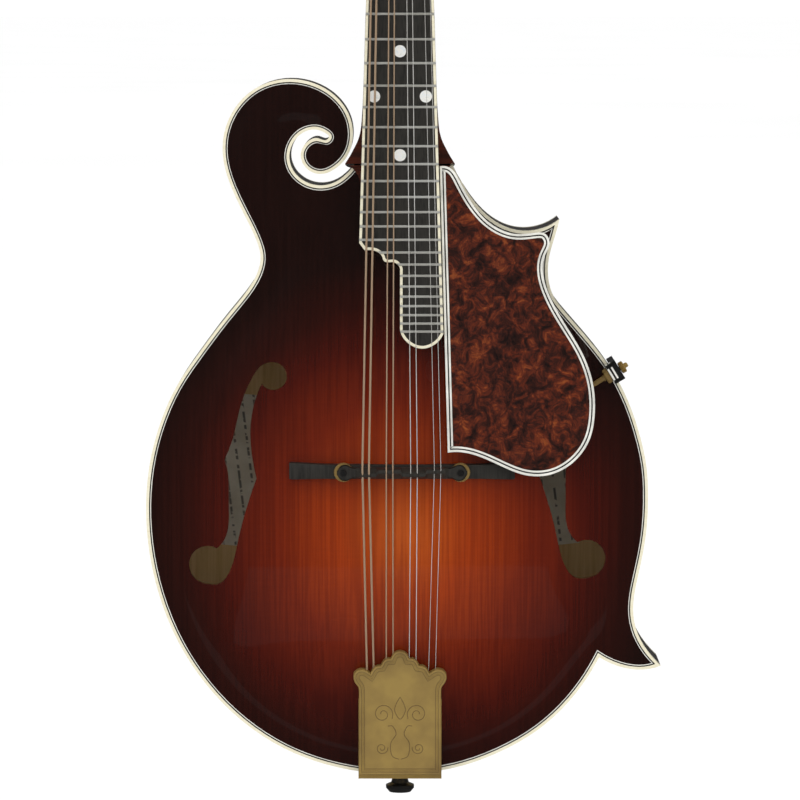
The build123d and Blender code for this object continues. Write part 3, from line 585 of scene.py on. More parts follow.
def sunburst():
    """clear-coated spruce, shaded from amber under the bridge to a nearly black edge"""
    colours = bpy.context.scene.mandolin_finishes
    work = Finish("sunburst_spruce", Coat_Weight=0.9, Coat_Roughness=0.03, IOR=1.45, Specular_IOR_Level=0.15)
    centre = work.spot(location=(-2 * MM, 0, 385 * MM))
    flattened = work.vector("MULTIPLY", centre, (1.0, 0.0, 0.96))["Vector"]
    far = work.vector("LENGTH", flattened)["Value"]
    wave = work.cloud(18, 2)
    far = work.math("MULTIPLY", far, 1 / colours.burst_reach)
    reach = work.math("ADD", far, work.levels(wave, -0.03, 0.03))
    colour = work.ramp(reach, [(0.0, colours.amber), (0.229, (0.279, 0.031, 0.001)),
                               (0.443, (0.133, 0.011, 0.001)), (0.65, (0.053, 0.0035, 0.0006)),
                               (0.78, (0.024, 0.0026, 0.001)), (0.93, (0.011, 0.0024, 0.0014))])
    grain = work.drawn((900, 260, 9), 3, 0.55)
    fleck = work.drawn((70, 40, 700), 2, 0.6)
    lines = work.math("MULTIPLY", work.mask(grain, 0.40, 0.60), 0.55)
    colour = work.mix(lines, colour, work.tinted(colour, (0.58, 0.46, 0.38)))
    colour = work.mix(work.levels(fleck, 0.0, 0.34), colour, work.tinted(colour, (1.45, 1.5, 1.6)))
    work.bump(grain, 0.05, 0.00008)
    return work.paint(colour, work.levels(wave, 0.22, 0.3))


def figured_maple():
    """dark stained maple with a fine flame across it"""
    work = Finish("figured_maple", Coat_Weight=0.9, Coat_Roughness=0.04, IOR=1.45, Specular_IOR_Level=0.2)
    light, dark = (0.062, 0.010, 0.003), (0.016, 0.004, 0.002)
    flame = work.drawn((7, 12, 210), 2, 0.45, 0.25)
    grain = work.drawn((420, 420, 12), 3, 0.6)
    colour = work.ramp(flame, [(0.30, dark), (0.50, light), (0.70, dark)])
    colour = work.mix(work.levels(grain, 0.1, 0.6), colour, work.tinted(colour, (0.6, 0.55, 0.5)))
    work.bump(grain, 0.04, 0.00006)
    return work.paint(colour, work.levels(flame, 0.22, 0.34))


def ivoroid():
    """ivory-like celluloid with faint streaks"""
    work = Finish("ivoroid", Coat_Weight=0.5, Coat_Roughness=0.08)
    streak = work.drawn((160, 160, 900))
    cloud = work.cloud(40)
    colour = work.ramp(streak, [(0.3, (0.80, 0.74, 0.54)), (0.7, (0.87, 0.83, 0.66))])
    colour = work.mix(work.levels(cloud, 0.0, 0.35), colour, (0.70, 0.63, 0.44))
    work.bump(streak, 0.03, 0.00005)
    return work.paint(colour, work.levels(cloud, 0.3, 0.42))


def plain_lacquer(name, colour, rough=0.3, coat=0.4):
    work = Finish(name, Coat_Weight=coat, Coat_Roughness=0.06)
    cloud = work.cloud(90, 4, 0.6)
    deep = tuple(c * 0.72 for c in colour)
    work.bump(cloud, 0.04, 0.00006)
    return work.paint(work.ramp(cloud, [(0.35, deep), (0.65, colour)]),
                      work.levels(cloud, rough * 0.85, rough * 1.2))


def ebony():
    """dark wood with long open pores"""
    work = Finish("ebony", Specular_IOR_Level=0.5)
    pores = work.drawn((1500, 1500, 60), 3, 0.6)
    cloud = work.drawn((90, 90, 20))
    colour = work.ramp(pores, [(0.34, (0.010, 0.0088, 0.0075)), (0.55, (0.030, 0.026, 0.021))])
    colour = work.mix(work.levels(cloud, 0.0, 0.6), colour, (0.036, 0.033, 0.025))
    work.bump(pores, 0.12, 0.0001)
    return work.paint(colour, work.levels(cloud, 0.42, 0.55))


def metal(name, colour, worn, rough=0.25, brushed=(40, 40, 900)):
    """brushed plating, worn and a little tarnished"""
    work = Finish(name, Metallic=0.42, Specular_IOR_Level=0.6)
    wear = work.cloud(130, 5, 0.65)
    lines = work.drawn(brushed, 3, 0.6)
    tarnish = work.cloud(28, 4, 0.6)
    tone = work.ramp(tarnish, [(0.35, worn), (0.62, colour)])
    tone = work.mix(work.levels(wear, 0.0, 0.45), tone, worn)
    work.bump(work.math("ADD", lines, wear), 0.06, 0.00006)
    return work.paint(tone, work.levels(work.math("ADD", lines, tarnish), rough * 0.4, rough * 1.1))


def wound_string():
    """bronze wire wound round a core, with its turns as fine bands whose dark edges are painted shade for the
    grooves between turns
    """
    work = Finish("bronze_winding", Metallic=0.5)
    turns = work.bands("Z", 640.0)
    tint = work.cloud(60)
    # the dark end of this ramp, (0.20, 0.11, 0.05), is painted shade in the grooves between the turns
    colour = work.ramp(turns, [(0.0, (0.20, 0.11, 0.05)), (0.5, (0.74, 0.55, 0.38))])
    colour = work.mix(work.levels(tint, 0.0, 0.4), colour, (0.50, 0.33, 0.20))
    work.bump(turns, 0.6, 0.00008)
    return work.paint(colour, work.levels(tint, 0.28, 0.4))


def tortoise():
    """red-brown celluloid with dark clouds and fine scratches"""
    work = Finish("tortoise_shell", Coat_Weight=0.3, Coat_Roughness=0.16, Specular_IOR_Level=0.25)
    blot = work.cloud(150, 7, 0.78, 0.7)
    cloud = work.cloud(34, 5, 0.65, 0.6)
    colour = work.ramp(blot, [(0.37, (0.012, 0.005, 0.004)), (0.47, (0.046, 0.010, 0.005)),
                              (0.56, (0.135, 0.019, 0.004)), (0.66, (0.30, 0.066, 0.010))])
    colour = work.mix(work.levels(cloud, 0.0, 0.8), colour, work.tinted(colour, (0.45, 0.4, 0.45)))
    scratch = work.drawn((2600, 60, 90), 2, 0.8, rotation=(0, 0.55, 0))
    other = work.drawn((2400, 60, 80), 2, 0.8, rotation=(0, -0.35, 0))
    lines = work.math("MAXIMUM", scratch, other)
    hair = work.math("MULTIPLY", work.mask(lines, 0.68, 0.78), 0.10)
    colour = work.mix(hair, colour, (0.26, 0.16, 0.12))
    work.bump(lines, 0.10, 0.0001)
    return work.paint(colour, work.levels(cloud, 0.24, 0.44))


def bare_wood():
    """unfinished wood inside the body"""
    work = Finish("bare_inside_wood")
    grain = work.drawn((500, 300, 14), 4, 0.6)
    dust = work.cloud(30, 4)
    colour = work.ramp(grain, [(0.3, (0.66, 0.42, 0.16)), (0.7, (0.88, 0.62, 0.29))])
    colour = work.mix(work.levels(dust, 0.0, 0.4), colour, (0.46, 0.31, 0.14))
    work.bump(grain, 0.2, 0.0002)
    return work.paint(colour, work.levels(dust, 0.6, 0.8))


def pearl():
    """pale shell with cool and warm swirls"""
    work = Finish("pearl", Coat_Weight=0.7, Coat_Roughness=0.04)
    swirl = work.cloud(260, 5, 0.6, 2.2)
    colour = work.ramp(swirl, [(0.3, (0.62, 0.66, 0.64)), (0.5, (0.82, 0.80, 0.74)),
                               (0.7, (0.66, 0.72, 0.76))])
    work.bump(swirl, 0.05, 0.0001)
    return work.paint(colour, work.levels(swirl, 0.16, 0.32))


def bone():
    """cream bone with short pores"""
    work = Finish("bone", Coat_Weight=0.15, Coat_Roughness=0.2)
    pores = work.drawn((300, 900, 900), 4, 0.6)
    work.bump(pores, 0.05, 0.0001)
    return work.paint(work.ramp(pores, [(0.3, (0.66, 0.60, 0.46)), (0.7, (0.82, 0.78, 0.66))]),
                      work.levels(pores, 0.35, 0.5))


def label_paper():
    """old paper with broken ruled lines"""
    work = Finish("label_paper")
    stain = work.cloud(55, 5, 0.6)
    fibre = work.cloud(900)
    colour = work.ramp(stain, [(0.3, (0.62, 0.56, 0.42)), (0.7, (0.84, 0.80, 0.66))])
    ink = work.mask(work.bands("X", 52.0, (0, 0.12, 0)), 0.86, 0.95)
    gaps = work.mask(work.drawn((120, 10, 420), 1), 0.44, 0.5)
    ink = work.math("MULTIPLY", work.math("MULTIPLY", ink, gaps), 0.75)
    work.bump(fibre, 0.1, 0.0001)
    return work.paint(work.mix(ink, colour, (0.03, 0.03, 0.03)), work.levels(stain, 0.7, 0.85))


def finish(name):
    """each finish is made once, when a piece first asks for it"""
    key = "finish_" + name
    if key not in made:
        made[key] = FINISHES[name]()
    return made[key]


FINISHES = {
    "spruce": sunburst,
    "maple": figured_maple,
    "inside_wood": bare_wood,
    "ivoroid": ivoroid,
    "black_line": lambda: plain_lacquer("black_line", (0.008, 0.007, 0.006), 0.35),
    "white_line": lambda: plain_lacquer("white_line", (0.84, 0.83, 0.76), 0.35),
    "black_white_line": lambda: plain_lacquer("purfling_black", (0.010, 0.009, 0.008), 0.35),
    "ebony": ebony,
    "bone": bone,
    "fret_wire": lambda: metal("fret_wire", (0.66, 0.66, 0.62), (0.46, 0.45, 0.40), 0.3, (40, 900, 900)),
    "pearl": pearl,
    "gold_plate": lambda: metal("gold_plate", tuple(bpy.context.scene.mandolin_finishes.gold),
                                (0.30, 0.19, 0.062), 0.42),
    "gold_dark": lambda: metal("engraved_gold", (0.30, 0.20, 0.075), (0.17, 0.105, 0.035), 0.5),
    "plated_steel": lambda: metal("plated_steel", (0.70, 0.70, 0.68), (0.48, 0.48, 0.45), 0.3),
    "bronze_wire": wound_string,
    "steel_wire": lambda: metal("plain_string", (0.80, 0.79, 0.76), (0.58, 0.56, 0.52), 0.22),
    "tortoise": tortoise,
    "dark_plastic": lambda: plain_lacquer("black_ebonite", (0.010, 0.0095, 0.009), 0.28, 0.6),
    "black_veneer": lambda: plain_lacquer("black_lacquer", (0.012, 0.010, 0.009), 0.2, 0.9),
    "label": label_paper,
}


# ---------- settings ----------

class MandolinSizes(bpy.types.PropertyGroup):
    """lengths a maker may change"""
    plate: FloatProperty(name="Plate", description="Thickness of the carved plates at the f-holes",
                         default=3.6 * MM, unit="LENGTH")
    black_line: FloatProperty(name="Black line", description="Width of the dark strip inside the binding",
                              default=0.62 * MM, unit="LENGTH")
    grid: FloatProperty(name="Grid", description="Distance between the points of a carved plate",
                        default=2.3 * MM, unit="LENGTH")
    wheel_ribs: IntProperty(name="Wheel ribs", description="Knurls round each thumbwheel", default=36, min=8)
    gear_teeth: IntProperty(name="Gear teeth", description="Teeth of each tuner gear", default=16, min=8)


class MandolinFinishes(bpy.types.PropertyGroup):
    """colours a maker may change"""
    amber: FloatVectorProperty(name="Amber", description="Colour at the middle of the burst",
                               default=(0.42, 0.075, 0.007), size=3, subtype="COLOR")
    burst_reach: FloatProperty(name="Burst reach", description="Distance from amber to the dark edge",
                               default=0.14, unit="LENGTH")
    gold: FloatVectorProperty(name="Gold", description="Colour of the plated fittings",
                              default=(0.52, 0.35, 0.095), size=3, subtype="COLOR")


class FINISH_OT_frame_nodes(bpy.types.Operator):
    """Gives every frame node that stays its own finish"""
    bl_idname = "mandolin.frame_nodes"
    bl_label = "Frame pieces"

    def execute(self, context):
        for name, node in frame["nodes"].items():
            for place in node.material_slots:
                place.material = finish(place.material.name.split(".")[0])
        frame["nodes"]["pickguard_clamp"].material_slots[0].material = finish("black_line")
        return {"FINISHED"}


def bare_side(piece, way):
    """leaves the inner side of a plate as bare wood"""
    piece.data.materials.append(finish("inside_wood"))
    for face in piece.data.polygons:
        if face.normal.y * way > 0.3:
            face.material_index = 1


class PLATE_OT_top(bpy.types.Operator):
    """Carved soundboard with its two sound holes"""
    bl_idname = "mandolin.carved_top"
    bl_label = "Carved top"

    def execute(self, context):
        sizes = context.scene.mandolin_sizes
        outline, holes = top_outline()
        verts, tris = flat_fill([outline] + holes, sizes.grid)
        shape = shell(verts, tris, arch, lambda x, z: arch(x, z) + sizes.plate)
        top = add_piece("carved_top", *shape, finish("spruce"), replaces=["soundboard"], slot="spruce",
                        smooth=35)
        bare_side(top, 1)
        return {"FINISHED"}


class PLATE_OT_back(bpy.types.Operator):
    """Carved maple back"""
    bl_idname = "mandolin.carved_back"
    bl_label = "Carved back"

    def execute(self, context):
        sizes = context.scene.mandolin_sizes
        outline = flat(facing_loops("back_plate", (0, 1, 0), 0.3)[0])
        made["back"] = Arching(outline, BACK_RISE)
        verts, tris = flat_fill([outline], sizes.grid * 1.1)
        shape = shell(verts, tris, lambda x, z: BACK_RIM - sizes.plate + made["back"](x, z),
                      lambda x, z: BACK_RIM + made["back"](x, z))
        back = add_piece("carved_back", *shape, finish("maple"), replaces=["back_plate"], slot="maple",
                         smooth=35)
        bare_side(back, -1)
        return {"FINISHED"}


class EDGE_OT_purfling(bpy.types.Operator):
    """Black and white lines inside the top binding"""
    bl_idname = "mandolin.purfling"
    bl_label = "Purfling"
    WIDE, DEEP = 1.02 * MM, 3 * MM

    def execute(self, context):
        sizes = context.scene.mandolin_sizes
        outer = flat(facing_loops("top_purfling", (0, -1, 0), 0.99)[0])
        middle = offset(outer, sizes.black_line)
        inner = offset(outer, self.WIDE)
        heights = [FRONT_RIM, FRONT_RIM, FRONT_RIM + self.DEEP, FRONT_RIM + self.DEEP]
        black = ring_piece([outer, middle, middle, outer], heights)
        white = ring_piece([middle, inner, inner, middle], heights)
        add_piece("purfling_black", *black, finish("black_line"), replaces=["top_purfling"],
                  slot="black_white_line")
        add_piece("purfling_white", *white, finish("white_line"), slot="black_white_line")
        return {"FINISHED"}


class GUARD_OT_plate(bpy.types.Operator):
    """Finger rest with its white, black and white edge"""
    bl_idname = "mandolin.finger_rest"
    bl_label = "Finger rest"
    THICK, CHAMFER, SUNK = 2.5 * MM, 0.12 * MM, 0.05 * MM
    EDGES = (("guard_edge_outer", "white_line", 1.15), ("guard_edge_line", "black_line", 1.75),
             ("guard_edge_inner", "white_line", 2.75))

    def execute(self, context):
        loops = facing_loops("pickguard_binding", on_neck((0, -1, 0)), 0.99)
        ring = flat(map(off_neck, loops[0]))
        level = off_neck(loops[0][0])[1]
        back, fine = level + self.THICK, self.CHAMFER
        start = ring
        for name, coat, reach in self.EDGES:
            stop = offset(ring, reach * MM)
            shape = ring_piece([start, offset(start, fine), offset(stop, -fine), stop, stop, start],
                               [level + fine, level, level, level + fine, back, back], on_neck)
            add_piece(name, *shape, finish(coat), slot="ivoroid",
                      replaces=["pickguard_binding"] if start is ring else [])
            start = stop
        shape = shell(*flat_fill([start], 6 * MM), lambda x, z: level + self.SUNK, lambda x, z: back, on_neck)
        add_piece("guard_plate", *shape, finish("tortoise"), slot="tortoise", replaces=["pickguard"])
        return {"FINISHED"}


# ---------- repeated parts made by node trees ----------

class Growth:
    """a geometry node tree that ends in Realize Instances and Set Material"""

    def __init__(self, name, inputs):
        self.tree = bpy.data.node_groups.new(name, "GeometryNodeTree")
        for label, kind in (*inputs, ("Finish", "Material")):
            self.tree.interface.new_socket(label, in_out="INPUT", socket_type="NodeSocket" + kind)
        self.tree.interface.new_socket("Geometry", in_out="OUTPUT", socket_type="NodeSocketGeometry")
        self.given = self.tree.nodes.new("NodeGroupInput").outputs

    def node(self, kind, **links):
        found = self.tree.nodes.new(kind)
        for key, value in links.items():
            if isinstance(value, bpy.types.NodeSocket):
                self.tree.links.new(value, found.inputs[key])
            else:
                found.inputs[key].default_value = value
        return found

    def finished(self, instances):
        real = self.node("GeometryNodeRealizeInstances", Geometry=instances)
        coat = self.node("GeometryNodeSetMaterial", Geometry=real.outputs["Geometry"],
                         Material=self.given["Finish"])
        self.node("NodeGroupOutput", Geometry=coat.outputs["Geometry"])
        return self.tree


def ring_tree():
    """node tree: a round core with blocks spaced round it"""
    work = Growth("ring_of_blocks", (("Count", "Int"), ("Radius", "Float"), ("Depth", "Float"),
                                     ("Block", "Vector"), ("Core", "Float")))
    circle = work.node("GeometryNodeMeshCircle", Vertices=work.given["Count"], Radius=work.given["Radius"])
    block = work.node("GeometryNodeMeshCube", Size=work.given["Block"])
    place = work.node("GeometryNodeInputPosition")
    turn = work.node("FunctionNodeAlignRotationToVector", Vector=place.outputs["Position"])
    turn.axis = "X"
    spread = work.node("GeometryNodeInstanceOnPoints", Points=circle.outputs["Mesh"],
                       Instance=block.outputs["Mesh"], Rotation=turn.outputs["Rotation"])
    core = work.node("GeometryNodeMeshCylinder", Vertices=64, Radius=work.given["Core"],
                     Depth=work.given["Depth"])
    union = work.node("GeometryNodeJoinGeometry", Geometry=core.outputs["Mesh"])
    work.tree.links.new(spread.outputs["Instances"], union.inputs["Geometry"])
    return work.finished(union.outputs["Geometry"])


def dotted_tree():
    """node tree: small domes spaced along the edges of a given line"""
    work = Growth("row_of_domes", (("Geometry", "Geometry"), ("Spacing", "Float"), ("Radius", "Float")))
    curve = work.node("GeometryNodeMeshToCurve", Mesh=work.given["Geometry"])
    points = work.node("GeometryNodeCurveToPoints", Curve=curve.outputs["Curve"])
    points.mode = "LENGTH"
    work.tree.links.new(work.given["Spacing"], points.inputs["Length"])
    dome = work.node("GeometryNodeMeshUVSphere", Segments=8, Rings=5, Radius=work.given["Radius"])
    spread = work.node("GeometryNodeInstanceOnPoints", Points=points.outputs["Points"],
                       Instance=dome.outputs["Mesh"])
    return work.finished(spread.outputs["Instances"])


def grown(name, tree, start, values):
    """the plain mesh that a node tree makes of a starting mesh"""
    if tree not in made:
        made[tree] = tree()
    seed = bpy.data.objects.new(name + "_seed", start)
    bpy.context.scene.collection.objects.link(seed)
    modifier = seed.modifiers.new("grow", "NODES")
    modifier.node_group = made[tree]
    for item in made[tree].interface.items_tree:
        if item.in_out == "INPUT" and item.name in values:
            modifier[item.identifier] = values[item.name]
    view = bpy.context.evaluated_depsgraph_get()
    view.update()
    mesh = bpy.data.meshes.new_from_object(seed.evaluated_get(view))
    bpy.data.objects.remove(seed)
    return mesh


def ringed(name, centre, turn, values):
    mesh = grown(name, ring_tree, bpy.data.meshes.new(name + "_start"), values)
    mesh.transform(Matrix.Translation(centre) @ turn)
    return mesh


class BRIDGE_OT_base(bpy.types.Operator):
    """Bridge foot that follows the arch of the top"""
    bl_idname = "mandolin.bridge_base"
    bl_label = "Bridge base"
    STATIONS = 80
    FLARE_AT, RAMP_AT, RAMP = 38 * MM, 36 * MM, 0.20
    ARCH_HALF, ARCH_LEVEL = 18 * MM, -27.2 * MM
    SOFT, END_SOFT, ON_TOP = 0.5 * MM, 0.3 * MM, 0.25 * MM

    def execute(self, context):
        low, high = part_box("bridge_base")
        half, crest, soft = (high.x - low.x) / 2, low.y, self.SOFT
        sections = []
        for k in range(self.STATIONS + 1):
            x = BRIDGE_X - half + 2 * half * k / self.STATIONS
            out = abs(x - BRIDGE_X)
            deep = (3.5 + 0.7 * max(0, (out - self.FLARE_AT) / (half - self.FLARE_AT))) * MM
            top = crest + max(0, out - self.RAMP_AT) * self.RAMP
            foot = arch(x, BRIDGE_Z) + self.ON_TOP
            if out < self.ARCH_HALF:
                foot = min(foot, self.ARCH_LEVEL + (out / self.ARCH_HALF) ** 6 * 4 * MM)
            if k in (0, self.STATIONS):
                deep, top = deep - self.END_SOFT, top + self.END_SOFT
            ring = [(foot, -deep), (top + soft, -deep), (top + soft * 0.3, -deep + soft * 0.3),
                    (top, -deep + soft)]
            ring += [(y, -z) for y, z in reversed(ring)]
            sections.append([(x, y, BRIDGE_Z + z) for y, z in ring])
        add_piece("bridge_foot", *swept(sections), finish("ebony"), replaces=["bridge_base"], slot="ebony",
                  smooth=40)
        return {"FINISHED"}


class BRIDGE_OT_saddle(bpy.types.Operator):
    """Saddle with a stepped crest for the four pairs, and its two ears"""
    bl_idname = "mandolin.bridge_saddle"
    bl_label = "Saddle"
    # where the crest steps between the pairs, and its shift along the strings there, in mm
    STEPS = [(-11.2, -0.8), (-10.8, 0.9), (0.6, 0.9), (1.0, -0.7), (12.4, -0.7), (12.8, 0.9)]
    FIRST, PITCH, SPOTS = -31.5, 0.7, 91
    EAR_TOP, EAR_WALL = -36.6 * MM, -36.9 * MM
    EAR_END, EAR_ROUND, EAR_HALF = 31.7 * MM, 3.5 * MM, 3.9
    WAIST, WAIST_HALF = 24.2 * MM, 2.6
    RISE_END, RISE_RUN = 23.0 * MM, 3.2 * MM

    def execute(self, context):
        low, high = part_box("bridge_saddle")
        crest, floor = low.y, high.y
        first, last = low.x / MM + 0.3, high.x / MM - 0.3
        steps_at, shifts = zip(*self.STEPS)
        places = sorted({round(self.FIRST + k * self.PITCH, 2) for k in range(self.SPOTS)} | set(steps_at))
        sections = []
        for x in (first, *(p + 1 for p in places if first < p + 1 < last), last):
            out = abs(x * MM - BRIDGE_X)
            rise = min(1.0, max(0.0, (self.RISE_END - out) / self.RISE_RUN))
            rise = rise * rise * (3 - 2 * rise)
            top = self.EAR_TOP + rise * (crest - self.EAR_TOP)
            shift = float(np.interp(x, steps_at, shifts)) * rise * MM
            wide = self.half_width(out)
            lip = (0.85 * rise + (wide / MM - 0.3) * (1 - rise)) * MM
            ring = [(floor, -wide), (self.EAR_WALL, -wide), (top + 0.35 * MM, shift - lip - 0.15 * MM),
                    (top, shift - lip + 0.2 * MM), (top, shift + lip - 0.2 * MM),
                    (top + 0.35 * MM, shift + lip + 0.15 * MM), (self.EAR_WALL, wide), (floor, wide)]
            sections.append([(x * MM, y, BRIDGE_Z + z) for y, z in ring])
        add_piece("bridge_saddle_crest", *swept(sections), finish("ebony"), body="saddle",
                  replaces=["bridge_saddle"], slot="ebony", smooth=35)
        return {"FINISHED"}

    def half_width(self, out):
        """half the saddle's width: even under the strings, then a waist and a round ear"""
        if out <= 22 * MM:
            return self.WAIST_HALF * MM
        ear = (out - (self.EAR_END - self.EAR_ROUND)) / self.EAR_ROUND
        if ear < 0:
            return (self.WAIST_HALF + 1.3 * min(1, max(0, (out - self.WAIST) / (3 * MM)))) * MM
        return max(0.7, self.EAR_HALF * math.sqrt(max(0.02, 1 - ear * ear))) * MM


class BRIDGE_OT_wheels(bpy.types.Operator):
    """Knurled thumbwheels on the bridge studs"""
    bl_idname = "mandolin.thumbwheels"
    bl_label = "Thumbwheels"
    STUD, ROOT, PITCH = 1.6 * MM, 1.35 * MM, 0.5 * MM

    def execute(self, context):
        count = context.scene.mandolin_sizes.wheel_ribs
        for side in ("bass", "treble"):
            low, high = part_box("thumbwheel_" + side)
            centre, deep, radius = (low + high) / 2, high.y - low.y, (high.x - low.x) / 2
            mesh = ringed("wheel_" + side, centre, Z_TO_Y, {
                "Count": count, "Radius": radius - 0.30 * MM, "Depth": deep,
                "Block": (0.55 * MM, 0.45 * MM, deep - 0.5 * MM), "Core": radius - 0.35 * MM,
                "Finish": finish("gold_plate")})
            dress("wheel_" + side, mesh, None, side + "_wheel", ["thumbwheel_" + side], 30)
        low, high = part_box("bridge_studs")
        for x, side in ((low.x, "bass"), (high.x, "treble")):
            inward = self.STUD if side == "bass" else -self.STUD
            profile = [(low.y, 1.1 * MM), (low.y + 0.4 * MM, self.STUD)]
            y = low.y + 0.5 * MM
            while y < high.y - 0.2 * MM:
                profile += [(y, self.STUD), (y + self.PITCH / 2, self.ROOT)]
                y += self.PITCH
            shape = turned([(p - low.y, r) for p, r in profile], 24, (x + inward, low.y, BRIDGE_Z))
            add_piece("stud_" + side, *shape, finish("dark_plastic"), slot="gold_plate",
                      replaces=["bridge_studs"] if side == "bass" else [], smooth=25)
        return {"FINISHED"}


class TAIL_OT_cover(bpy.types.Operator):
    """String cover with a crown, a beaded border and a plain scroll ornament"""
    bl_idname = "mandolin.string_cover"
    bl_label = "String cover"
    SOFT, WALL, LOBE = 0.7 * MM, 1.0 * MM, 2.7 * MM
    SHOULDER = -463.4
    # the crown's lobes on the treble side, in mm, from the middle out to the shoulder
    LOBES = [[(0, -443.2), (2.0, -443.6), (3.6, -445.0), (4.5, -446.9)],
             [(4.5, -446.9), (6.4, -447.0), (8.2, -448.2), (9.4, -450.4)],
             [(9.4, -450.4), (11.6, -450.8), (13.3, -452.1), (14.6, -454.2)],
             [(14.6, -454.2), (16.4, -453.0), (18.6, -452.3), (20.8, -452.7), (22.6, -454.3), (23.0, -456.7),
              (22.1, -459.1), (20.6, -461.2), (20.3, SHOULDER)]]
    # the ornament: middle, first radius, growth and step of its curls, then its stems and its drop, in mm
    CURLS = ((8.5, -474.5, 1.0, 0.42, 0.55, 19, 1), (9.0, -491.5, 0.6, 0.26, 0.6, 17, -1))
    STEM = ((0.5, -497), (4.0, -495.2), (4.6, -489), (2.0, -484.5), (3.6, -480.6), (6.0, -480.4))
    DROP = ((0.0, -466.0), (1.9, -469.4), (2.6, -473.0), (0.0, -477.0), (-2.6, -473.0), (-1.9, -469.4),
            (0.0, -466.0))

    def execute(self, context):
        low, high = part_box("tailpiece_cover")
        front, back, soft, wall = low.y, high.y, self.SOFT, self.WALL
        ring = self.crown(high.x - self.LOBE, low.z)
        rings = [offset(ring, inward) for inward in (soft, soft * 0.4, 0.0)] \
            + [ring, offset(ring, wall), offset(ring, wall)]
        heights = [front, front + soft * 0.12, front + soft, back, back, front + wall]
        dress("string_cover_lid", capped("string_cover", rings, heights, 2 * MM), finish("gold_plate"),
              "string_cover", ["tailpiece_cover"], 30)
        self.border(ring, front)
        self.ornament(front)
        return {"FINISHED"}

    def crown(self, half, foot):
        """the lid's outline: straight sides, round shoulders and a crown of small lobes"""
        right = [point for lobe in self.LOBES for point in smooth_run(lobe, 5)[:-1]]
        shoulder = self.SHOULDER * MM
        right = [(x * MM, z * MM) for x, z in right] + [(half, shoulder)]
        right += [(half, foot + (shoulder - foot) * k / 20) for k in range(19, -1, -1)]
        left = [(-x, z) for x, z in reversed(right[1:])]
        return thinned(right + left, POINTS_MEET)

    def border(self, ring, front):
        """a row of beads between two fine lines"""
        inner = offset(ring, 2.0 * MM)
        path = bpy.data.meshes.new("border_path")
        count = len(inner)
        path.from_pydata([(x, front - 0.02 * MM, z) for x, z in inner],
                         [(i, (i + 1) % count) for i in range(count)], [])
        mesh = grown("border", dotted_tree, path,
                     {"Spacing": 0.85 * MM, "Radius": 0.26 * MM, "Finish": finish("gold_plate")})
        dress("cover_beads", mesh, None, "string_cover", smooth=60)
        lines = [tube([(x, front, z) for x, z in offset(ring, d * MM)], 0.14 * MM, 6, closed=True)
                 for d in (1.2, 2.8)]
        add_piece("cover_border", *join(lines), finish("gold_dark"), "string_cover", slot="gold_plate")

    def ornament(self, front):
        """two pairs of curls, two stems and a drop, raised a little"""
        runs = []
        for side in (-1, 1):
            for x, z, first, growth, step, count, up in self.CURLS:
                runs.append([(side * (x + (first + growth * t) * math.cos(t)),
                              z + up * (first + growth * t) * math.sin(t))
                             for t in [k * step for k in range(count)]])
            runs.append([(side * x, z) for x, z in self.STEM])
        parts = [tube([(x * MM, front + 0.03 * MM, z * MM) for x, z in smooth_run(run, 6)], 0.20 * MM, 6)
                 for run in (*runs, self.DROP)]
        add_piece("cover_ornament", *join(parts), finish("gold_dark"), "string_cover", slot="gold_plate")


def tube(path, radius, sides, closed=False):
    """round skin along a path"""
    spots = [Vector(p) for p in path]
    total = len(spots)
    sections, side = [], None
    for i, spot in enumerate(spots):
        before = spots[i - 1] if closed or i else spots[0]
        after = spots[(i + 1) % total] if closed or i < total - 1 else spots[-1]
        way = (after - before).normalized()
        if side is None:
            side = way.orthogonal().normalized()
        side = (side - way * side.dot(way)).normalized()
        up = way.cross(side)
        sections.append([tuple(spot + side * (radius * math.cos(t)) + up * (radius * math.sin(t)))
                         for t in angles(sides)])
    if closed:
        return outward([p for ring in sections for p in ring], band(total, sides, True))
    return swept(sections)


def along_rod(distance, aside=0.0, depth=0.0):
    """a place beside the bracket's rod; all three in mm"""
    return Vector(((ROD_START[0] + distance * ROD_WAY[0] - aside * ROD_WAY[1]) * MM,
                   (ROD_DEPTH + depth) * MM,
                   (ROD_START[1] + distance * ROD_WAY[1] + aside * ROD_WAY[0]) * MM))


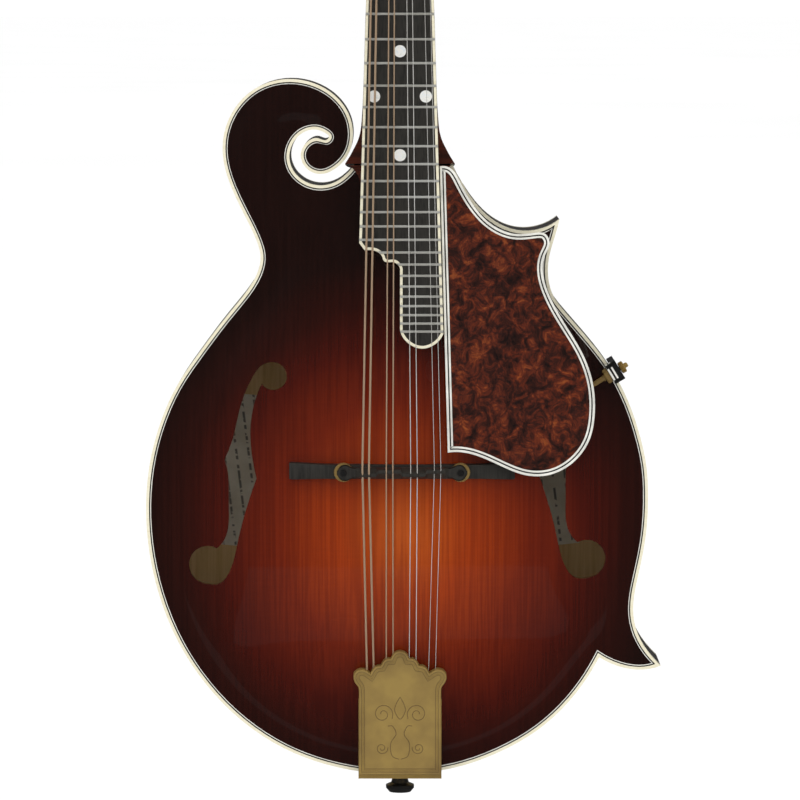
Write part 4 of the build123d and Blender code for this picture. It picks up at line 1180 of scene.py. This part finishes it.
class GUARD_OT_bracket(bpy.types.Operator):
    """Rod, nuts and layered block that carry the finger rest"""
    bl_idname = "mandolin.bracket"
    bl_label = "Bracket"
    # profiles hold (distance along the rod, radius), in mm
    ROD = [(-13, 0.9), (-12.6, 1.25), (7.0, 1.25), (7.1, 1.6), (8.0, 1.6), (8.1, 1.25), (20.4, 1.25),
           (21, 0.8)]
    NUT = [(8.2, 3.2), (8.7, 3.75), (10.4, 3.75), (10.85, 3.2)]
    END_NUT = [(16.6, 2.2), (16.9, 2.9), (17.0, 3.15), (17.2, 2.85), (17.45, 3.15), (17.65, 2.85),
               (17.9, 3.15), (18.1, 2.85), (18.35, 3.15), (18.55, 2.85), (18.9, 3.1), (19.2, 2.4), (19.3, 1.4)]
    POST = [(0, 2.0), (1.2, 2.2), (13.5, 2.2), (14.2, 1.4)]
    POST_AT, POST_FROM = -11.5, 4.0 * MM
    # name, start, stop, finish and half width of each layer, in mm
    LAYERS = (("white", 10.9, 12.1, "white_line", 5.3), ("black", 12.1, 12.8, "black_line", 5.35),
              ("pale", 12.8, 14.0, "white_line", 5.3), ("dark", 14.0, 16.5, "dark_plastic", 5.4))

    def execute(self, context):
        x, _, z = along_rod(self.POST_AT)
        post = turned([(a * MM, r * MM) for a, r in self.POST], 24,
                      (x, on_neck((0, self.POST_FROM, z))[1] + 0.02 * MM, z))
        add_piece("bracket_rod", *join([self.lathe(self.ROD, 24), self.lathe(self.NUT, 6), post]),
                  finish("gold_plate"), slot="gold_plate", replaces=["pickguard_rod"], smooth=30)
        add_piece("bracket_end_nut", *self.lathe(self.END_NUT, 32), finish("gold_plate"), slot="gold_plate",
                  smooth=30)
        for name, start, stop, coat, half in self.LAYERS:
            sections = [[tuple(along_rod(distance, eased(math.cos(t), 0.4) * (half - less),
                                         0.2 + eased(math.sin(t), 0.4) * (half - less))) for t in angles(32)]
                        for distance, less in ((start, 0.25), (start + 0.2, 0.0), (stop - 0.2, 0.0),
                                               (stop, 0.25))]
            add_piece("bracket_layer_" + name, *swept(sections), finish(coat), slot="ivoroid", smooth=35)
        return {"FINISHED"}

    def lathe(self, profile, count):
        return swept([[tuple(along_rod(a, r * math.cos(t), r * math.sin(t))) for t in angles(count)]
                      for a, r in profile])


class INSIDE_OT_labels(bpy.types.Operator):
    """Two old paper labels glued inside the back, under the sound holes"""
    bl_idname = "mandolin.labels"
    bl_label = "Labels"
    # name, middle in mm, and lean in radians
    LABELS = (("label_bass", -71, -360, -0.10), ("label_treble", 66, -360, 0.12))
    WIDE, TALL, THICK, GLUE = 40, 77, 0.15 * MM, 0.25 * MM
    COLUMNS, ROWS = 9, 17

    def execute(self, context):
        columns, rows = self.COLUMNS, self.ROWS
        inner_face = BACK_RIM - context.scene.mandolin_sizes.plate - self.GLUE
        quads = [(a, a + 1, a + columns + 1, a + columns)
                 for a in (k * columns + i for k in range(rows - 1) for i in range(columns - 1))]
        edge = [*range(columns), *range(2 * columns - 1, rows * columns, columns),
                *range(rows * columns - 2, (rows - 1) * columns - 1, -1),
                *range((rows - 2) * columns, 0, -columns)]
        count = columns * rows
        for name, x, z, lean in self.LABELS:
            verts = []
            for k in range(rows):
                for i in range(columns):
                    u, v = (i / (columns - 1) - 0.5) * self.WIDE, (k / (rows - 1) - 0.5) * self.TALL
                    px = (x + u * math.cos(lean) - v * math.sin(lean)) * MM
                    pz = (z + u * math.sin(lean) + v * math.cos(lean)) * MM
                    verts.append((px, inner_face + made["back"](px, pz), pz))
            verts += [(vx, vy + self.THICK, vz) for vx, vy, vz in verts]
            faces = quads + [tuple(i + count for i in reversed(face)) for face in quads]
            faces += [(b, a, a + count, b + count) for a, b in zip(edge, edge[1:] + edge[:1])]
            add_piece(name, *outward(verts, faces), finish("label"), slot="ivoroid")
        return {"FINISHED"}


class TUNER_OT_posts(bpy.types.Operator):
    """String posts with toothed gears and wound turns"""
    bl_idname = "mandolin.tuner_posts"
    bl_label = "Tuner posts"
    # the shaft's profile: distance from the front, and radius, in mm
    SHAFT = [(-11.5, 2.2), (-11.1, 2.7), (-8, 2.9), (-6.5, 2.6), (-3.4, 2.6), (-2, 2.9), (16, 2.9), (19, 2.9),
             (19.1, 2.4), (20.3, 2.4), (20.6, 1.9)]
    GEAR, CORE, GEAR_DEEP, TOOTH = 5.4 * MM, 5.1 * MM, 3.0 * MM, (1.2 * MM, 1.05 * MM, 2.6 * MM)
    POST_RADIUS, WINDING_AT, WINDINGS = 2.9, -5, 3

    def execute(self, context):
        teeth = context.scene.mandolin_sizes.gear_teeth
        shaft, faces = turned([(a * MM, r * MM) for a, r in self.SHAFT], 28, (0, 0, 0))
        for number, (x, z, gauge) in enumerate(POSTS, 1):
            body = "post_%d" % number
            gear = ringed("gear_%d" % number, on_head((x * MM, POST_DEPTH, z * MM)), HEAD_TURN @ Z_TO_Y, {
                "Count": teeth, "Radius": self.GEAR, "Depth": self.GEAR_DEEP, "Block": self.TOOTH,
                "Core": self.CORE, "Finish": finish("gold_plate")})
            dress("gear_%d" % number, gear, None, body, ["tuner_post_%d" % number], 30)
            verts = [on_head((vx + x * MM, vy, vz + z * MM)) for vx, vy, vz in shaft]
            add_piece("post_shaft_%d" % number, verts, faces, finish("plated_steel"), body,
                      slot="plated_steel")
            reach = (self.POST_RADIUS + gauge * 0.45) * MM
            spread = 2.3 * gauge / (2 * self.WINDINGS * math.pi)
            turns = [(x * MM + reach * math.cos(t), (self.WINDING_AT - 1.15 * gauge + spread * t) * MM,
                      z * MM + reach * math.sin(t))
                     for t in [k * math.pi / 9 for k in range(18 * self.WINDINGS + 1)]]
            coil = tube([on_head(p) for p in turns], gauge / 2 * MM, 7)
            wire = "bronze_wire" if gauge > PLAIN_GAUGE else "steel_wire"
            add_piece("winding_%d" % number, *coil, finish(wire), body, slot=wire)
        return {"FINISHED"}


class TUNER_OT_keys(bpy.types.Operator):
    """Worm spindles with pearl buttons"""
    bl_idname = "mandolin.tuner_keys"
    bl_label = "Tuner keys"
    # distance from the worm's middle, and radius or share of the button's width, in mm
    HEAD_END = [(-7.8, 1.2), (-7.6, 1.55), (-5.9, 1.6)]
    THREAD, THREAD_FROM, THREAD_TO, PITCH = ((0, 1.7), (0.35, 2.55), (0.75, 2.55), (1.1, 1.7)), -5.8, 5.6, 1.3
    SPINDLE = [(5.9, 1.6), (8.05, 1.6), (8.1, 2.3), (9.1, 2.3), (9.15, 1.6), (12.5, 1.5), (14.8, 2.1),
               (15.6, 2.1), (16.4, 1.3)]
    BUTTON = ((15.5, 0.42), (15.8, 0.62), (17.2, 0.84), (19.5, 0.97), (22, 1.0), (24.4, 0.93), (25.8, 0.76),
              (26.4, 0.5))
    BUTTON_THICK, BUTTON_TALL = 2.9, 6.4

    def execute(self, context):
        profile, at = list(self.HEAD_END), self.THREAD_FROM
        while at < self.THREAD_TO:
            profile += [(at + along, radius) for along, radius in self.THREAD]
            at += self.PITCH
        profile += self.SPINDLE
        for number, (x, z, _) in enumerate(POSTS, 1):
            side = 1 if x > 0 else -1
            body = "key_%d" % number
            place = lambda v: on_head((v[0] + x * MM, v[1] + POST_DEPTH, v[2] + (z - WORM_DROP) * MM))
            verts, faces = outward(*turned([(side * a * MM, r * MM) for a, r in profile], 24, (0, 0, 0), "X"))
            add_piece("worm_%d" % number, map(place, verts), faces, finish("plated_steel"), body,
                      ["tuner_key_%d" % number], "plated_steel", 30)
            verts, faces = swept([[(side * a * MM,
                                    eased(math.cos(t), 0.7) * self.BUTTON_THICK * wide ** 0.8 * MM,
                                    eased(math.sin(t), 0.8) * self.BUTTON_TALL * wide * MM)
                                   for t in angles(28)] for a, wide in self.BUTTON])
            add_piece("button_%d" % number, map(place, verts), faces, finish("pearl"), body, slot="pearl",
                      smooth=60)
        return {"FINISHED"}


class NECK_OT_shaft(bpy.types.Operator):
    """Rounded neck and heel, and the headstock's core"""
    bl_idname = "mandolin.neck"
    bl_label = "Neck"
    # distance from the nut, half width, depth and squareness of each section, in mm
    SECTIONS = [(-4.6, 13.1, 18.5, 1.0), (20, 13.9, 18.8, 1.0), (90, 15.9, 19.8, 1.0),
                (160, 17.8, 21.0, 1.0), (180, 18.7, 24.5, 0.97), (190, 20.0, 33.0, 0.88),
                (198, 23.6, 43.5, 0.80), (203.7, 27.0, 52.0, 0.74)]
    SIDE_DEPTH, HALF_TURN = 5.0, 40
    VENEER_STEP, SOFT, OVERHANG = 0.4 * MM, 1.2 * MM, -1.2 * MM

    def execute(self, context):
        side = self.SIDE_DEPTH
        sections = [[on_neck((half * eased(math.cos(t), full) * MM,
                              (side + (deep - side) * abs(math.sin(t)) ** full) * MM, -s * MM))
                     for t in [math.pi * k / self.HALF_TURN for k in range(self.HALF_TURN + 1)]]
                    for s, half, deep, full in smooth_run(self.SECTIONS, 8)]
        outline = facing_loops("headstock_veneer", HEAD_TURN @ Vector((0, -1, 0)), 0.99)[0]
        core = offset(flat(map(off_head, outline), self.VENEER_STEP), self.OVERHANG)
        soft, back = self.SOFT, HEAD_CORE_BACK
        mesh = capped("headstock_core", [core, core, offset(core, soft * 0.3), offset(core, soft)],
                      [HEAD_CORE_FRONT, back - soft, back - soft * 0.3, back], 4 * MM, on_head)
        dress("headstock_core", mesh, finish("maple"), smooth=40)
        add_piece("neck_shaft", *swept(sections), finish("maple"), replaces=["neck"], slot="maple", smooth=40)
        return {"FINISHED"}


class STAGE_OT_studio(bpy.types.Operator):
    """Pale floor, soft light and the camera"""
    bl_idname = "mandolin.studio"
    bl_label = "Studio"
    FLOOR_HALF, FLOOR_DROP = 400.0, 0.14
    AIM, FAR, LIFT = Vector((0, -0.0105, -0.3200)), 2.4, math.radians(4.6)
    SENSOR, LENS = 36.0, 218.4
    LAMPS_AT = Vector((0, 0, -0.32))
    # name, place, size and watts
    LAMPS = (("window_left", (-1.5, -1.5, 0.65), (0.45, 1.3), 2.6),
             ("window_right", (1.7, -1.4, 0.3), (0.35, 1.2), 1.1),
             ("window_low", (0.0, -1.9, -1.05), (1.7, 0.35), 0.16))
    BRIGHT, DIM = 1.18, 0.055

    def execute(self, context):
        scene = context.scene
        size, low = self.FLOOR_HALF, CAD_BOX[0][2] - self.FLOOR_DROP
        verts = [(-size, -size, low), (size, -size, low), (size, size, low), (-size, size, low)]
        mesh = bpy.data.meshes.new("studio_floor")
        mesh.from_pydata(verts, [], [(0, 1, 2, 3)])
        floor = bpy.data.objects.new("studio_floor", mesh)
        scene.collection.objects.link(floor)
        paint = Finish("pale_floor")
        cloud = paint.cloud(0.7, 2)
        tone = paint.ramp(cloud, [(0.3, (0.93, 0.93, 0.93)), (0.7, (0.95, 0.95, 0.95))])
        mesh.materials.append(paint.paint(tone, paint.levels(cloud, 0.85, 0.95)))
        floor.visible_glossy = False
        self.light_room(scene)
        for lamp in self.LAMPS:
            self.lamp(*lamp)
        lens = bpy.data.cameras.new("camera")
        lens.sensor_width, lens.lens = self.SENSOR, self.LENS
        lens.clip_end = 2000
        camera = bpy.data.objects.new("camera", lens)
        scene.collection.objects.link(camera)
        camera.location = self.AIM + self.FAR * Vector((0, -math.cos(self.LIFT), math.sin(self.LIFT)))
        camera.rotation_euler = (self.AIM - camera.location).to_track_quat("-Z", "Y").to_euler()
        scene.camera = camera
        scene.view_settings.view_transform = "Standard"
        return {"FINISHED"}

    def light_room(self, scene):
        """bright for the eye and for matt surfaces, dim in reflections"""
        world = bpy.data.worlds.new("studio")
        world.use_nodes = True
        scene.world = world
        tree = world.node_tree
        back = tree.nodes["Background"]
        back.inputs["Color"].default_value = (1, 1, 1, 1)
        path = tree.nodes.new("ShaderNodeLightPath")
        spread = tree.nodes.new("ShaderNodeMapRange")
        spread.inputs["To Min"].default_value = self.BRIGHT
        spread.inputs["To Max"].default_value = self.DIM
        tree.links.new(path.outputs["Is Glossy Ray"], spread.inputs["Value"])
        tree.links.new(spread.outputs["Result"], back.inputs["Strength"])

    def lamp(self, name, place, size, watts):
        data = bpy.data.lights.new(name, "AREA")
        data.shape, data.size, data.size_y, data.energy = "RECTANGLE", *size, watts
        lamp = bpy.data.objects.new(name, data)
        bpy.context.scene.collection.objects.link(lamp)
        lamp.location = place
        lamp.rotation_euler = (self.LAMPS_AT - Vector(place)).to_track_quat("-Z", "Y").to_euler()


class PANEL_PT_mandolin(bpy.types.Panel):
    """Lists the makers of the pieces"""
    bl_idname = "PANEL_PT_mandolin"
    bl_label = "Mandolin"
    bl_space_type = "VIEW_3D"
    bl_region_type = "UI"
    bl_category = "Mandolin"

    def draw(self, context):
        for group in (context.scene.mandolin_sizes, context.scene.mandolin_finishes):
            for key in group.__annotations__:
                self.layout.prop(group, key)
        for step in STEPS:
            self.layout.operator(step)


CLASSES = [MandolinSizes, MandolinFinishes, FINISH_OT_frame_nodes, PLATE_OT_top, PLATE_OT_back,
           EDGE_OT_purfling, GUARD_OT_plate, BRIDGE_OT_base, BRIDGE_OT_saddle, BRIDGE_OT_wheels,
           TAIL_OT_cover, GUARD_OT_bracket, INSIDE_OT_labels, NECK_OT_shaft, TUNER_OT_posts, TUNER_OT_keys,
           STAGE_OT_studio, PANEL_PT_mandolin]
STEPS = [c.bl_idname for c in CLASSES if issubclass(c, bpy.types.Operator)]


def register():
    for one in CLASSES:
        bpy.utils.register_class(one)
    bpy.types.Scene.mandolin_sizes = PointerProperty(type=MandolinSizes)
    bpy.types.Scene.mandolin_finishes = PointerProperty(type=MandolinFinishes)


def unregister():
    del bpy.types.Scene.mandolin_finishes
    del bpy.types.Scene.mandolin_sizes
    for one in reversed(CLASSES):
        bpy.utils.unregister_class(one)


def main():
    register()
    for step in STEPS:
        group, name = step.split(".")
        getattr(getattr(bpy.ops, group), name)()


if __name__ == "__main__":
    main()
